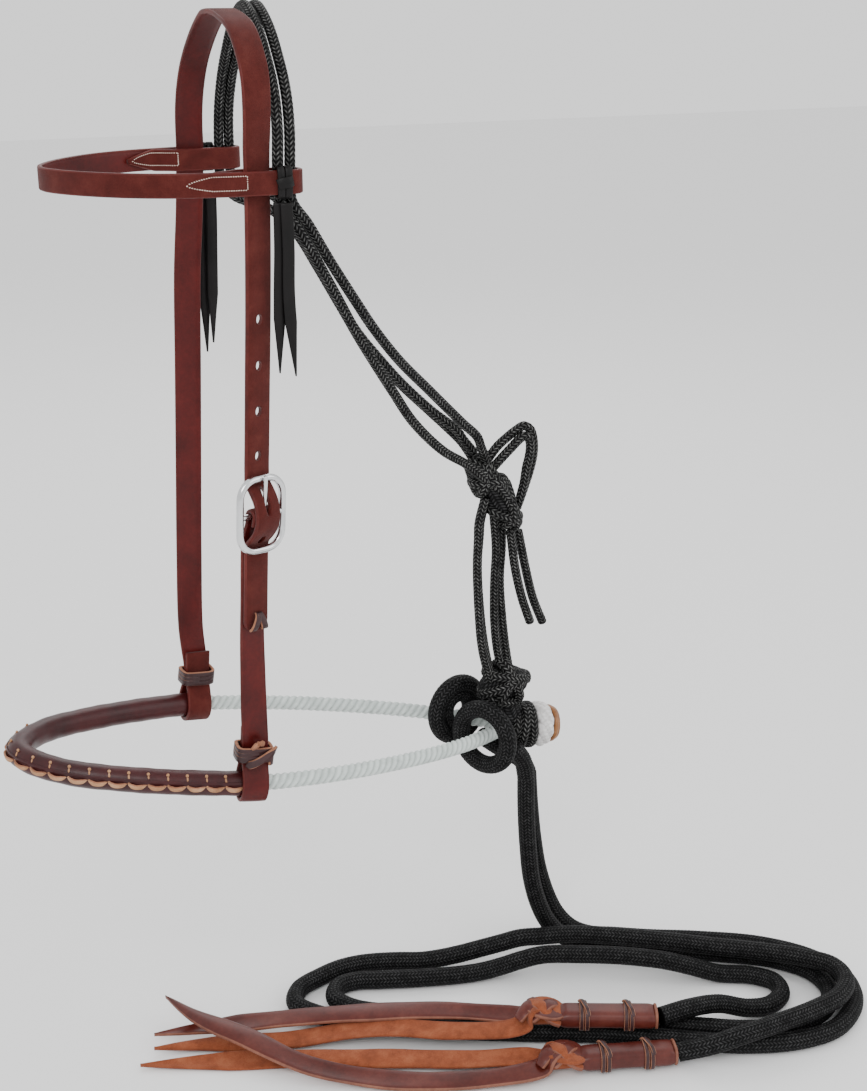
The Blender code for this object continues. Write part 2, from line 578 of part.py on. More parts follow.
# ---- reins --------------------------------------------------------------------------------------
LIE = FLOOR_Z + 0.0065                     # centre of a rope lying on the floor
OVER = FLOOR_Z + 0.0200                    # centre of a rope crossing another
NEAR_REIN = [
    (0.193, -0.014, -0.498), (0.193, -0.015, -0.520), (0.194, -0.017, -0.550),
    (0.1965, -0.0192, -0.578), (0.2022, -0.0214, -0.600), (0.2095, -0.0238, -0.6150),
    (0.2190, -0.0303, -0.6248), (0.2330, -0.0398, LIE), (0.2480, -0.0488, LIE),
    (0.275, -0.0655, LIE), (0.311, -0.0875, LIE), (0.341, -0.109, LIE),
    (0.356, -0.132, LIE), (0.354, -0.155, LIE), (0.336, -0.171, LIE), (0.308, -0.175, LIE),
    (0.280, -0.167, LIE), (0.252, -0.151, LIE), (0.219, -0.130, LIE), (0.173, -0.104, LIE),
    (0.126, -0.083, LIE), (0.079, -0.058, LIE), (0.053, -0.039, LIE), (0.046, -0.024, LIE),
    (0.053, -0.0130, LIE), (0.0660, -0.0120, LIE), (0.0814, -0.0175, LIE),
    (0.1073, -0.0268, LIE), (0.1344, -0.0350, LIE), (0.1500, -0.0390, LIE + 0.001),
    (0.1615, -0.0430, LIE + 0.004), (0.1735, -0.0485, LIE + 0.009), (0.1870, -0.0550, OVER),
    (0.2116, -0.0655, OVER), (0.2355, -0.0780, OVER), (0.2600, -0.0915, OVER - 0.002),
    (0.2790, -0.0995, LIE + 0.006), (0.2960, -0.1070, LIE + 0.0005),
    (0.316, -0.118, LIE), (0.326, -0.131, LIE), (0.322, -0.144, LIE), (0.308, -0.151, LIE),
    (0.291, -0.150, LIE + 0.002), (0.270, -0.146, LIE + 0.009), (0.246, -0.147, OVER),
    (0.224, -0.147, OVER)]
OFF_REIN = [
    (0.204, 0.004, -0.506), (0.206, 0.004, -0.531), (0.209, 0.0030, -0.560),
    (0.2125, 0.0000, -0.585), (0.2170, -0.0065, -0.6050), (0.2215, -0.0130, -0.6165),
    (0.2290, -0.0205, -0.6250), (0.2393, -0.0285, LIE), (0.2543, -0.0375, LIE),
    (0.2750, -0.0500, LIE), (0.307, -0.0670, LIE), (0.343, -0.0905, LIE), (0.366, -0.118, LIE),
    (0.373, -0.145, LIE), (0.362, -0.171, LIE), (0.334, -0.189, LIE), (0.303, -0.1895, LIE),
    (0.267, -0.1775, LIE), (0.234, -0.158, LIE), (0.190, -0.131, LIE), (0.143, -0.108, LIE),
    (0.097, -0.084, LIE), (0.057, -0.059, LIE), (0.031, -0.038, LIE), (0.0200, -0.0190, LIE),
    (0.0273, -0.0050, LIE), (0.0450, 0.0025, LIE), (0.0613, 0.0062, LIE),
    (0.0761, 0.0055, LIE), (0.0897, 0.0020, LIE), (0.1029, -0.0030, LIE),
    (0.1155, -0.0085, LIE), (0.1281, -0.0140, LIE + 0.002), (0.1417, -0.0185, LIE + 0.0045),
    (0.1557, -0.0225, LIE + 0.0075), (0.1696, -0.0265, LIE + 0.0105), (0.1823, -0.0305, OVER),
    (0.1961, -0.0345, OVER), (0.2101, -0.0385, OVER), (0.2232, -0.0440, OVER),
    (0.2347, -0.0505, OVER), (0.2577, -0.0650, OVER), (0.2802, -0.0805, OVER),
    (0.299, -0.0945, OVER), (0.325, -0.1125, OVER), (0.348, -0.131, OVER),
    (0.361, -0.148, OVER), (0.358, -0.165, OVER), (0.343, -0.177, OVER), (0.319, -0.182, OVER),
    (0.288, -0.184, OVER), (0.260, -0.183, LIE + 0.012), (0.240, -0.178, LIE + 0.007),
    (0.224, -0.1695, LIE + 0.0018)]
REINS = {"near": NEAR_REIN, "off": OFF_REIN}
RINGS = {"near": ((0.1600, -0.0155, -0.4610), 119, 0.0190, 0.0200),
         "off": ((0.1560, 0.0184, -0.4543), 13, 0.0180, 0.0190)}


def make_reins(black, parts):
    for word, route in REINS.items():
        tube(word + "_rein", smooth(route, 0.0190), REIN_R, black, parts, resolution=2)
    for word, (centre, spin, wide, high) in RINGS.items():
        turn = Matrix.Rotation(math.radians(spin), 4, "Z") @ Matrix.Rotation(math.radians(90), 4,
                                                                             "X")
        ring = [Vector((wide * math.cos(a), high * math.sin(a), 0.0))
                for a in (2 * math.pi * k / 20 for k in range(20))]
        made = tube(word + "_rein_ring", ring, REIN_R, black, parts, closed=True)
        made.matrix_world = Matrix.Translation(centre) @ turn


TAIL_W, TAIL_TILT = 0.0136, 0.20            # the split ends' width, and their lean to the near side
POPPERS = {
    # sleeve start, sleeve end, height of its middle, tails (points), all on the floor plan
    "near": dict(start=(0.2205, -0.1468), end=(0.1665, -0.1215), z=FLOOR_Z + 0.0214,
                 tails=[[(0.1360, -0.1015, 0.0183), (0.1000, -0.0790, 0.0170),
                         (0.0500, -0.0580, 0.0160), (0.0000, -0.0340, 0.0100),
                         (-0.0480, -0.0190, 0.0075), (-0.0750, -0.0120, 0.0065)],
                        [(0.1340, -0.1140, 0.0165), (0.1000, -0.0960, 0.0125),
                         (0.0560, -0.0720, 0.0125), (0.0020, -0.0500, 0.0042),
                         (-0.0480, -0.0318, 0.0040), (-0.0780, -0.0225, 0.0038)]]),
    "off": dict(start=(0.2215, -0.1685), end=(0.1660, -0.1500), z=FLOOR_Z + 0.0085,
                tails=[[(0.1340, -0.1320, 0.0070), (0.1000, -0.1180, 0.0060),
                        (0.0520, -0.0940, 0.0050), (0.0000, -0.0680, 0.0030),
                        (-0.0480, -0.0487, 0.0027), (-0.0900, -0.0335, 0.0027)],
                       [(0.1300, -0.1460, 0.0070), (0.0960, -0.1350, 0.0040),
                        (0.0500, -0.1140, 0.0035), (0.0050, -0.0860, 0.0090),
                        (-0.0250, -0.0500, 0.0150), (-0.0480, -0.0180, 0.0160),
                        (-0.0600, 0.0120, 0.0150)]]),
}


def make_poppers(leather, lace, parts, cutters):
    for word, plan in POPPERS.items():
        start = Vector((*plan["start"], plan["z"]))
        end = Vector((*plan["end"], plan["z"]))
        along = (end - start).normalized()
        turn = turn_between(along, (0, 0, 1)).to_4x4()
        middle = (start + end) / 2
        sleeve = box(word + "_popper", ((end - start).length, STRAP_W, 0.0126),
                     Matrix.Translation(middle) @ turn, parts, leather)
        soften = sleeve.modifiers.new("round_edges", "BEVEL")
        soften.width = 0.0030
        soften.segments = 2
        knot_at = end + along * 0.0150
        knot_at.z = plan["z"] - 0.0003
        knot = ball(word + "_popper_knot", knot_at, (0.0195, 0.0120, 0.0068), turn.to_3x3(), None,
                    cutters, 16, 8)
        hide_cutter(knot)
        cut(sleeve, knot, "UNION")
        for k, tail in enumerate(plan["tails"]):
            route = [Vector((x, y, FLOOR_Z + z)) for x, y, z in tail]
            pull = (knot_at - route[0]).normalized()
            route.insert(0, route[0] + pull * 0.0110)
            path = smooth(route, 0.0130)
            across = []
            for i, point in enumerate(path):
                ahead = path[min(i + 1, len(path) - 1)] - path[max(i - 1, 0)]
                level = ahead.cross((0, 0, 1)).normalized()
                across.append(level + Vector((0, 0, TAIL_TILT)))
            width = TAIL_W
            strip = ribbon("%s_popper_tail_%s" % (word, "ab"[k]), path, across, width, 0.0024,
                           None, cutters, tip=0.030)
            hide_cutter(strip)
            cut(sleeve, strip, "UNION")
        for k, share in enumerate((0.30, 0.78)):
            centre = start.lerp(end, share)
            make_band("%s_popper_keeper_%d" % (word, k + 1), centre, along.cross((0, 0, 1)),
                      along, (0.0083, 0.0066), (0.0103, 0.0084), 0.0058, lace, parts)


# ---- assembly -----------------------------------------------------------------------------------
def main():
    for obj in list(bpy.data.objects):
        bpy.data.objects.remove(obj)
    scene = bpy.context.scene.collection
    parts = bpy.data.collections.new(NAME)
    cutters = bpy.data.collections.new("cutters")
    scene.children.link(parts)
    scene.children.link(cutters)

    leather = material("bridle_leather", (0.138, 0.030, 0.026), 0.45)
    dark = material("cover_leather", (0.055, 0.012, 0.014), 0.50)
    popper = material("popper_leather", (0.180, 0.060, 0.040), 0.55)
    latigo = material("dark_latigo", (0.030, 0.012, 0.012), 0.55)
    tie = material("black_latigo", (0.015, 0.012, 0.012), 0.55)
    tan = material("tan_lace", (0.420, 0.200, 0.090), 0.70)
    white = material("white_rope", (0.560, 0.610, 0.580), 0.75)
    black = material("black_rope", (0.010, 0.010, 0.011), 0.60)
    amber = material("rope_whipping", (0.230, 0.110, 0.040), 0.50)
    steel = material("stainless_steel", (0.620, 0.620, 0.620), 0.25, 1.0)

    make_crown_strap(leather, parts, cutters)
    make_near_cheek(leather, parts, cutters)
    make_buckle(steel, parts, cutters)
    make_cheek_laces(latigo, parts)
    make_noseband(white, dark, tan, parts)
    make_heel(white, black, amber, parts)
    make_browband(leather, parts)
    make_ties(tie, parts)
    make_fiador(black, parts)
    make_reins(black, parts)
    make_poppers(popper, latigo, parts, cutters)


main()
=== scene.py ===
"""Bitless hackamore on a pale studio floor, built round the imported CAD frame."""
import math

import bmesh
import bpy
import numpy as np
from mathutils import Matrix, Vector


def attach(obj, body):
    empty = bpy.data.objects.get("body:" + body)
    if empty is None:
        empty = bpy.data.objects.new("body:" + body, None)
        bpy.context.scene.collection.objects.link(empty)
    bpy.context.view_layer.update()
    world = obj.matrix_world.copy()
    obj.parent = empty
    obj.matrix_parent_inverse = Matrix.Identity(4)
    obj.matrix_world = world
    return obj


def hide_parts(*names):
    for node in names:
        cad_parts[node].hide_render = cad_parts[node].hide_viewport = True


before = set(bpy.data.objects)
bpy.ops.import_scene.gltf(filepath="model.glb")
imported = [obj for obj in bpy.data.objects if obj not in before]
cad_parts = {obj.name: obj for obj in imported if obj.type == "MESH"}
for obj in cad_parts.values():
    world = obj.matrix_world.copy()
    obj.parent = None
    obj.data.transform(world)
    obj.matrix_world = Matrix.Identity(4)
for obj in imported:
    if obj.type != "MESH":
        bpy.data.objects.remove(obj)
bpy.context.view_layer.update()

HEAD = "headstall"
UP = (0.0, 0.0, 1.0)
FLOOR = -0.635

def mm(rows):
    """A list of points written in millimetres, in metres."""
    return [tuple(value / 1000 for value in row) for row in rows]


# ---- camera ---------------------------------------------------------------------------------
AZIMUTH, PITCH, LENS = math.radians(-24.4), math.radians(19.9), 52.2
EYE = Vector((-0.2643, -0.8684, 0.02))


def make_camera():
    """The camera that was fitted to the photo."""
    right = Vector((math.cos(AZIMUTH), math.sin(AZIMUTH), 0.0))
    ahead = Vector((-math.sin(AZIMUTH), math.cos(AZIMUTH), 0.0)) * math.cos(PITCH)
    ahead -= Vector(UP) * math.sin(PITCH)
    data = bpy.data.cameras.new("camera")
    data.lens = LENS
    data.sensor_width = 36.0
    data.clip_start = 0.01
    camera = bpy.data.objects.new("camera", data)
    bpy.context.scene.collection.objects.link(camera)
    place = Matrix((right, right.cross(ahead), -ahead)).transposed().to_4x4()
    place.translation = EYE
    camera.matrix_world = place
    bpy.context.scene.camera = camera


# ---- materials ------------------------------------------------------------------------------
class Nodes:
    """A short way to build a material's nodes."""

    def __init__(self, name):
        self.made = bpy.data.materials.new(name)
        self.made.use_nodes = True
        self.tree = self.made.node_tree
        self.shader = self.tree.nodes["Principled BSDF"]

    def add(self, kind, values=(), **settings):
        node = self.tree.nodes.new("ShaderNode" + kind)
        for key, value in settings.items():
            setattr(node, key, value)
        for key, value in dict(values).items():
            if isinstance(value, bpy.types.NodeSocket):
                self.tree.links.new(value, node.inputs[key])
            else:
                node.inputs[key].default_value = value
        return node

    def set(self, **values):
        for key, value in values.items():
            socket = self.shader.inputs[key.replace("_", " ")]
            if isinstance(value, bpy.types.NodeSocket):
                self.tree.links.new(value, socket)
            else:
                socket.default_value = value

    def noise(self, scale, detail=3.0, rough=0.55):
        place = self.add("TexCoord")
        return self.add("TexNoise", {"Vector": place.outputs["Object"], "Scale": scale,
                                     "Detail": detail, "Roughness": rough}).outputs["Fac"]

    def ramp(self, value, *stops):
        node = self.add("ValToRGB", {"Fac": value})
        while len(node.color_ramp.elements) < len(stops):
            node.color_ramp.elements.new(0.5)
        for element, (place, colour) in zip(node.color_ramp.elements, stops):
            element.position = place
            element.color = (*colour, 1.0)
        return node.outputs["Color"]

    def mix(self, share, a, b):
        node = self.add("MixRGB", {"Fac": share})
        for key, value in (("Color1", a), ("Color2", b)):
            if isinstance(value, bpy.types.NodeSocket):
                self.tree.links.new(value, node.inputs[key])
            else:
                node.inputs[key].default_value = (*value, 1.0)
        return node.outputs["Color"]

    def maths(self, how, a, b=0.5, c=0.5):
        return self.add("Math", {0: a, 1: b, 2: c}, operation=how).outputs["Value"]

    def bump(self, height, strength, distance, under=None):
        values = {"Height": height, "Strength": strength, "Distance": distance}
        if under is not None:
            values["Normal"] = under
        return self.add("Bump", values).outputs["Normal"]


def leather(name, deep, base, light, rough=0.42, grain=0.25, coat=0.06, spec=0.35):
    """Oiled bridle leather: slow tonal drift, pores and a soft shine."""
    m = Nodes(name)
    tone = m.noise(38.0, 4.0, 0.6)
    colour = m.ramp(tone, (0.3, deep), (0.52, base), (0.78, light))
    streak = m.noise(420.0, 2.0, 0.7)
    colour = m.mix(0.35, colour, m.ramp(streak, (0.35, deep), (0.65, base)))
    place = m.add("TexCoord").outputs["Object"]
    pores = m.add("TexVoronoi", {"Vector": place, "Scale": 1500.0}).outputs["Distance"]
    fine = m.noise(2600.0, 2.0, 0.6)
    first = m.bump(pores, grain, 0.00012)
    normal = m.bump(fine, grain * 0.8, 0.0001, first)
    shine = m.maths("MULTIPLY_ADD", tone, 0.22, rough - 0.11)
    m.set(Base_Color=colour, Roughness=shine, Normal=normal, Coat_Weight=coat,
          Coat_Roughness=0.32, Specular_IOR_Level=spec)
    return m.made


def suede(name, deep, base, light):
    """The leather's flesh side: fuzzy, dry, with short fibres."""
    m = Nodes(name)
    blotch = m.noise(90.0, 5.0, 0.65)
    fibre = m.noise(1900.0, 4.0, 0.75)
    colour = m.ramp(blotch, (0.32, deep), (0.5, base), (0.72, light))
    colour = m.mix(0.45, colour, m.ramp(fibre, (0.3, deep), (0.7, light)))
    m.set(Base_Color=colour, Roughness=0.88, Normal=m.bump(fibre, 0.7, 0.0004),
          Sheen_Weight=0.08, Specular_IOR_Level=0.12)
    return m.made


def stitch_highlight(m, columns, pitch, wide=0.5):
    """Share of light in a herringbone of short slanted stitches, from the rope's own UVs."""
    uv = m.add("SeparateXYZ", {"Vector": m.add("UVMap").outputs["UV"]})
    lane = m.maths("MULTIPLY", uv.outputs["X"], columns)
    across = m.maths("FRACT", lane)
    odd = m.maths("MODULO", m.maths("FLOOR", lane), 2.0)
    other = m.maths("SUBTRACT", 1.0, across)
    slant = m.maths("ADD", m.maths("MULTIPLY", across, m.maths("SUBTRACT", 1.0, odd)),
                    m.maths("MULTIPLY", other, odd))
    phase = m.maths("FRACT", m.maths("ADD", m.maths("DIVIDE", uv.outputs["Y"], pitch), slant))
    tick = m.maths("SINE", m.maths("MULTIPLY", phase, math.pi))
    tick = m.maths("SMOOTH_MAX", m.maths("SUBTRACT", tick, wide), 0.0, 0.05)
    lane_mid = m.maths("SINE", m.maths("MULTIPLY", across, math.pi))
    return m.maths("MULTIPLY", m.maths("MULTIPLY", tick, 1.0 / (1.0 - wide)), lane_mid)


def braided(name, low, high, columns, pitch, wide, gain):
    """Black braid: dark yarn with a painted highlight on its slanted stitches, uneven along the
    rope.
    """
    m = Nodes(name)
    drift = m.noise(230.0, 3.0, 0.7)
    fibre = m.noise(3000.0, 2.0, 0.8)
    uneven = m.maths("MULTIPLY", m.maths("POWER", drift, 2.0), 2.2 * gain)
    # light is a painted highlight on the stitch crowns, made uneven along the rope by drift.
    light = m.maths("MULTIPLY", stitch_highlight(m, columns, pitch, wide), uneven)
    light = m.maths("MULTIPLY", light, m.maths("MULTIPLY_ADD", fibre, 1.2, 0.4))
    m.set(Base_Color=m.mix(m.maths("MINIMUM", light, 1.0), low, high), Roughness=0.6,
          Normal=m.bump(fibre, 0.4, 0.00012), Specular_IOR_Level=0.1)
    return m.made


def woven(name, low, high, rough, fuzz, power):
    """Rope yarn: painted shade between its strands, a painted highlight on their crowns, fibres on
    top.
    """
    m = Nodes(name)
    relief = m.add("Attribute", attribute_name="relief").outputs["Fac"]
    crown = m.maths("POWER", relief, power)
    drift = m.noise(140.0, 3.0, 0.6)
    # Mixing low to high by the crown paints shade in the grooves and a highlight on the strand
    # crowns.
    crown_highlight = m.maths("MULTIPLY", crown, m.maths("MULTIPLY_ADD", drift, 1.5, 0.12))
    fibre = m.noise(3200.0, 2.0, 0.8)
    colour = m.mix(crown_highlight, low, high)
    colour = m.mix(0.22, colour, m.ramp(fibre, (0.25, low), (0.75, high)))
    m.set(Base_Color=colour, Roughness=rough, Normal=m.bump(fibre, fuzz, 0.00015),
          Specular_IOR_Level=0.3)
    return m.made


def steel(name):
    m = Nodes(name)
    scuff = m.noise(700.0, 3.0, 0.6)
    m.set(Base_Color=m.ramp(m.noise(60.0), (0.3, (0.6, 0.61, 0.62)), (0.7, (0.78, 0.79, 0.8))),
          Metallic=1.0, Roughness=m.maths("MULTIPLY_ADD", scuff, 0.12, 0.13),
          Normal=m.bump(scuff, 0.05, 0.0001))
    return m.made


STRAP = leather("bridle_leather", (0.04, 0.0028, 0.0026), (0.08, 0.0055, 0.0048),
                (0.125, 0.012, 0.0095), 0.42, 0.22, 0.04, 0.22)
# The edge material is lighter than the strap's face: a painted highlight on the bevelled and cut
# edges.
STRAP_EDGE_HIGHLIGHT = leather("bridle_leather_edge_highlight", (0.045, 0.005, 0.004), (0.1, 0.014, 0.011),
                     (0.17, 0.035, 0.026), 0.48, 0.15, 0.03, 0.2)
STRAP_BACK = suede("bridle_leather_back", (0.045, 0.006, 0.005), (0.075, 0.011, 0.009),
                   (0.115, 0.024, 0.018))
COVER = leather("cover_leather", (0.02, 0.0025, 0.003), (0.045, 0.005, 0.006),
                (0.08, 0.012, 0.012), 0.36, 0.5, 0.04, 0.3)
POPPER = leather("popper_leather", (0.045, 0.006, 0.004), (0.09, 0.015, 0.01),
                 (0.16, 0.04, 0.028), 0.34, 0.15, 0.08, 0.3)
POPPER_EDGE = leather("popper_edge", (0.11, 0.035, 0.022), (0.22, 0.08, 0.048),
                      (0.34, 0.15, 0.095), 0.6, 0.3)
SUEDE = suede("popper_suede", (0.12, 0.025, 0.01), (0.25, 0.06, 0.024),
              (0.38, 0.125, 0.058))
LATIGO = leather("dark_latigo", (0.016, 0.005, 0.005), (0.036, 0.011, 0.012),
                 (0.07, 0.026, 0.028), 0.42, 0.3)
LATIGO_EDGE = suede("dark_latigo_edge", (0.15, 0.055, 0.028), (0.33, 0.135, 0.075),
                    (0.48, 0.24, 0.15))
TIE = leather("black_latigo", (0.001, 0.001, 0.001), (0.004, 0.003, 0.003),
              (0.012, 0.01, 0.011), 0.5, 0.35, 0.03, 0.2)
TAN = suede("tan_lace", (0.2, 0.08, 0.035), (0.44, 0.215, 0.105), (0.64, 0.39, 0.23))
THREAD = suede("cream_thread", (0.42, 0.29, 0.23), (0.7, 0.54, 0.46), (0.86, 0.76, 0.68))
# The high colour of BLACK and CORD is a painted highlight on the stitch crowns; the low colour is
# the black yarn.
BLACK = braided("black_rope", (0.0004, 0.0004, 0.0005), (0.042, 0.042, 0.043), 16, 0.0024,
                0.45, 1.5)
CORD = braided("black_cord", (0.0004, 0.0004, 0.0005), (0.17, 0.17, 0.165), 8, 0.0026,
               0.66, 1.1)
# WHITE and BUTTON: the low colour is painted shade in the grooves, the high colour a painted
# highlight on the strand crowns.
WHITE = woven("white_rope", (0.3, 0.345, 0.325), (0.7, 0.76, 0.735), 0.78, 0.5, 0.8)
BUTTON = woven("white_button", (0.42, 0.4, 0.39), (0.88, 0.87, 0.86), 0.5, 0.4, 0.7)
AMBER = leather("rope_whipping", (0.11, 0.036, 0.01), (0.29, 0.12, 0.038),
                (0.48, 0.27, 0.12), 0.34, 0.5, 0.3)
STEEL = steel("stainless_steel")


# ---- shape helpers ----------------------------------------------------------------------------
def length_of(rows):
    return np.linalg.norm(rows, axis=-1)


def spline(points, spacing, closed=False):
    """Evenly spaced rows on the centripetal Catmull-Rom curve through the given rows."""
    p = np.array([list(q) for q in points], float)
    if closed:
        p = np.vstack([p[-1:], p, p[:2]])
    else:
        p = np.vstack([2 * p[:1] - p[1:2], p, 2 * p[-1:] - p[-2:-1]])
    fine = []
    for p0, p1, p2, p3 in zip(p, p[1:], p[2:], p[3:]):
        t1 = max(1e-5, length_of(p1[:3] - p0[:3])) ** 0.5
        t2 = t1 + max(1e-5, length_of(p2[:3] - p1[:3])) ** 0.5
        t3 = t2 + max(1e-5, length_of(p3[:3] - p2[:3])) ** 0.5
        t = np.linspace(t1, t2, 16, endpoint=False)[:, None]
        a1 = p0 * ((t1 - t) / t1) + p1 * (t / t1)
        a2 = p1 * ((t2 - t) / (t2 - t1)) + p2 * ((t - t1) / (t2 - t1))
        a3 = p2 * ((t3 - t) / (t3 - t2)) + p3 * ((t - t2) / (t3 - t2))
        b1 = a1 * ((t2 - t) / t2) + a2 * (t / t2)
        b2 = a2 * ((t3 - t) / (t3 - t1)) + a3 * ((t - t1) / (t3 - t1))
        fine.append(b1 * ((t2 - t) / (t2 - t1)) + b2 * ((t - t1) / (t2 - t1)))
    fine = np.vstack(fine + [p[-2:-1]])
    reach = np.r_[0.0, np.cumsum(length_of(np.diff(fine[:, :3], axis=0)))]
    count = max(2, round(reach[-1] / spacing))
    want = np.linspace(0.0, reach[-1], count + 1)
    out = np.column_stack([np.interp(want, reach, fine[:, k]) for k in range(fine.shape[1])])
    return out[:-1] if closed else out


def tangents(c, closed=False):
    t = np.roll(c, -1, axis=0) - np.roll(c, 1, axis=0) if closed else np.gradient(c, axis=0)
    return t / length_of(t)[:, None]


def rails(c, hint=UP, closed=False):
    """Side and normal directions carried along a path without twisting."""
    t = tangents(c, closed)
    normal = np.zeros_like(c)
    last = np.array(hint, float)
    for i in range(len(c)):
        last = last - t[i] * last.dot(t[i])
        last = last / length_of(last)
        normal[i] = last
    return np.cross(t, normal), normal


def along(c):
    return np.r_[0.0, np.cumsum(length_of(np.diff(c[:, :3], axis=0)))]


def piece(name, mesh, mats, body, node=()):
    """Link a finished mesh as a piece that rides on a body and stands for CAD nodes."""
    mesh.shade_smooth()
    for mat in mats:
        mesh.materials.append(mat)
    made = bpy.data.objects.new(name, mesh)
    bpy.context.scene.collection.objects.link(made)
    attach(made, body)
    nodes = [node] if isinstance(node, str) else list(node)
    if nodes:
        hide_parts(*nodes)
    return made


def loft_mesh(name, rings, v, relief=None, slots=None, closed=False):
    """A closed skin through rings of points, with u round it and v along it in metres."""
    rings = np.asarray(rings, float)
    n, m = rings.shape[:2]
    verts = rings.reshape(-1, 3)
    spans = n if closed else n - 1
    i, j = np.meshgrid(np.arange(spans), np.arange(m), indexing="ij")
    k, nxt = (i + 1) % n, (j + 1) % m
    quads = np.stack([i * m + j, i * m + nxt, k * m + nxt, k * m + j], axis=-1).reshape(-1, 4)
    faces = quads.tolist()
    ends = []
    if not closed:
        ends = [rings[0].mean(axis=0), rings[-1].mean(axis=0)]
        for c, row, flip in ((n * m, 0, True), (n * m + 1, (n - 1) * m, False)):
            for q in range(m):
                a, b = row + q, row + (q + 1) % m
                faces.append([c, b, a] if flip else [c, a, b])
        verts = np.vstack([verts, ends])
    mesh = bpy.data.meshes.new(name)
    mesh.from_pydata(verts.tolist(), [], faces)
    uv = mesh.uv_layers.new(name="UVMap")
    far = v[-1] + (v[1] - v[0]) if closed else v[-1]
    vv = np.r_[v, far] if closed else v
    u0, u1 = j / m, (j + 1) / m
    v0, v1 = vv[i], vv[i + 1] if closed else vv[np.minimum(i + 1, n - 1)]
    quad_uv = np.stack([u0, v0, u1, v0, u1, v1, u0, v1], axis=-1).reshape(-1)
    total = np.zeros(len(mesh.loops) * 2)
    total[:len(quad_uv)] = quad_uv
    uv.data.foreach_set("uv", total)
    if relief is not None:
        layer = mesh.attributes.new("relief", "FLOAT", "POINT")
        values = np.asarray(relief, float).reshape(-1)
        layer.data.foreach_set("value", np.r_[values, [0.4] * len(ends)])
    if slots is not None:
        index = np.tile(np.asarray(slots, int), spans)
        index = np.r_[index, np.full(len(mesh.polygons) - len(index), max(slots))]
        mesh.polygons.foreach_set("material_index", index.astype(np.int32))
    mesh.validate()
    return mesh


def braid(columns, pitch, depth, lean):
    """Herringbone relief of a braided rope: slanted strands in columns of alternating hand."""
    def relief(u, v):
        x = (u * columns) % 1.0
        odd = np.floor(u * columns).astype(int) % 2
        slant = np.where(odd == 0, x, 1.0 - x)
        phase = (v / pitch + lean * slant) % 1.0
        high = np.sin(np.pi * phase) ** 0.9 * (0.3 + 0.7 * np.sin(np.pi * x) ** 0.6)
        return high, 1.0 - depth * (1.0 - high)
    return relief


def laid(strands, lay, depth):
    """Round strands laid in a helix."""
    def relief(u, v):
        turn = (u - v / lay) * strands % 1.0
        swell = np.abs(np.sin(np.pi * turn)) ** 0.75
        return swell, 1.0 - depth * (1.0 - swell)
    return relief


def rope(name, route, radius, mat, body=HEAD, node=(), weave=None, sides=20, spacing=0.0008,
         closed=False, hint=UP, ends=(0.0, 0.0), squeeze=None):
    """A rope or cord along a route; ends gives how far each end is rounded."""
    c = spline(route, spacing, closed)[:, :3]
    side, normal = rails(c, hint, closed)
    v = along(c)
    u = np.arange(sides) / sides
    high, scale = weave(u[None, :], v[:, None]) if weave else (np.ones((len(v), sides)), 1.0)
    r = radius * scale * np.ones((len(v), sides))
    for reach, gone in ((ends[0], v), (ends[1], v[-1] - v)):
        if reach:
            k = np.clip(gone / reach, 0.0, 1.0)
            r = r * np.sqrt(np.maximum(1e-3, 1.0 - (1.0 - k) ** 2))[:, None]
    if squeeze is not None:
        r = r * squeeze(v / v[-1])[:, None]
    a = 2.0 * np.pi * u
    rings = (c[:, None, :] + side[:, None, :] * (r * np.cos(a))[:, :, None]
             + normal[:, None, :] * (r * np.sin(a))[:, :, None])
    mesh = loft_mesh(name, rings, v, high, closed=closed)
    return piece(name, mesh, [mat], body, node), c


def squared(a, power):
    """A circle's cosine and sine pressed toward a rounded square."""
    c, s = math.cos(a), math.sin(a)
    return math.copysign(abs(c) ** power, c), math.copysign(abs(s) ** power, s)


def strap_section(width, thick, groove=0.00016):
    """Cross-section of a bevelled, creased strap: (across, through) points and their slots."""
    h, q = width / 2, thick / 2
    top = [(-h, 0.3 * q, 1), (-h + 0.0003, 0.82 * q, 1), (-h + 0.0008, q, 0)]
    if groove:
        top += [(-h + 0.0012, q - groove, 0), (-h + 0.0016, q, 0)]
    top += [(-h * 0.55, 1.05 * q, 0), (-h * 0.2, 1.08 * q, 0)]
    mirrored = [(-a, b) for a, b, _ in reversed(top)]
    marks = [s for _, _, s in top] + [0] + [s for _, _, s in reversed(top[1:])] + [1]
    points = [(a, b) for a, b, _ in top] + mirrored
    under = [(h, -0.3 * q, 1), (h - 0.0003, -0.82 * q, 1), (h - 0.0008, -q, 2),
             (h * 0.3, -q, 2), (-h * 0.3, -q, 2), (-h + 0.0008, -q, 1),
             (-h + 0.0003, -0.82 * q, 1), (-h, -0.3 * q, 1)]
    points += [(a, b) for a, b, _ in under]
    marks = marks[:len(top) * 2 - 1] + [1] + [s for _, _, s in under]
    return points, marks[:len(points)]


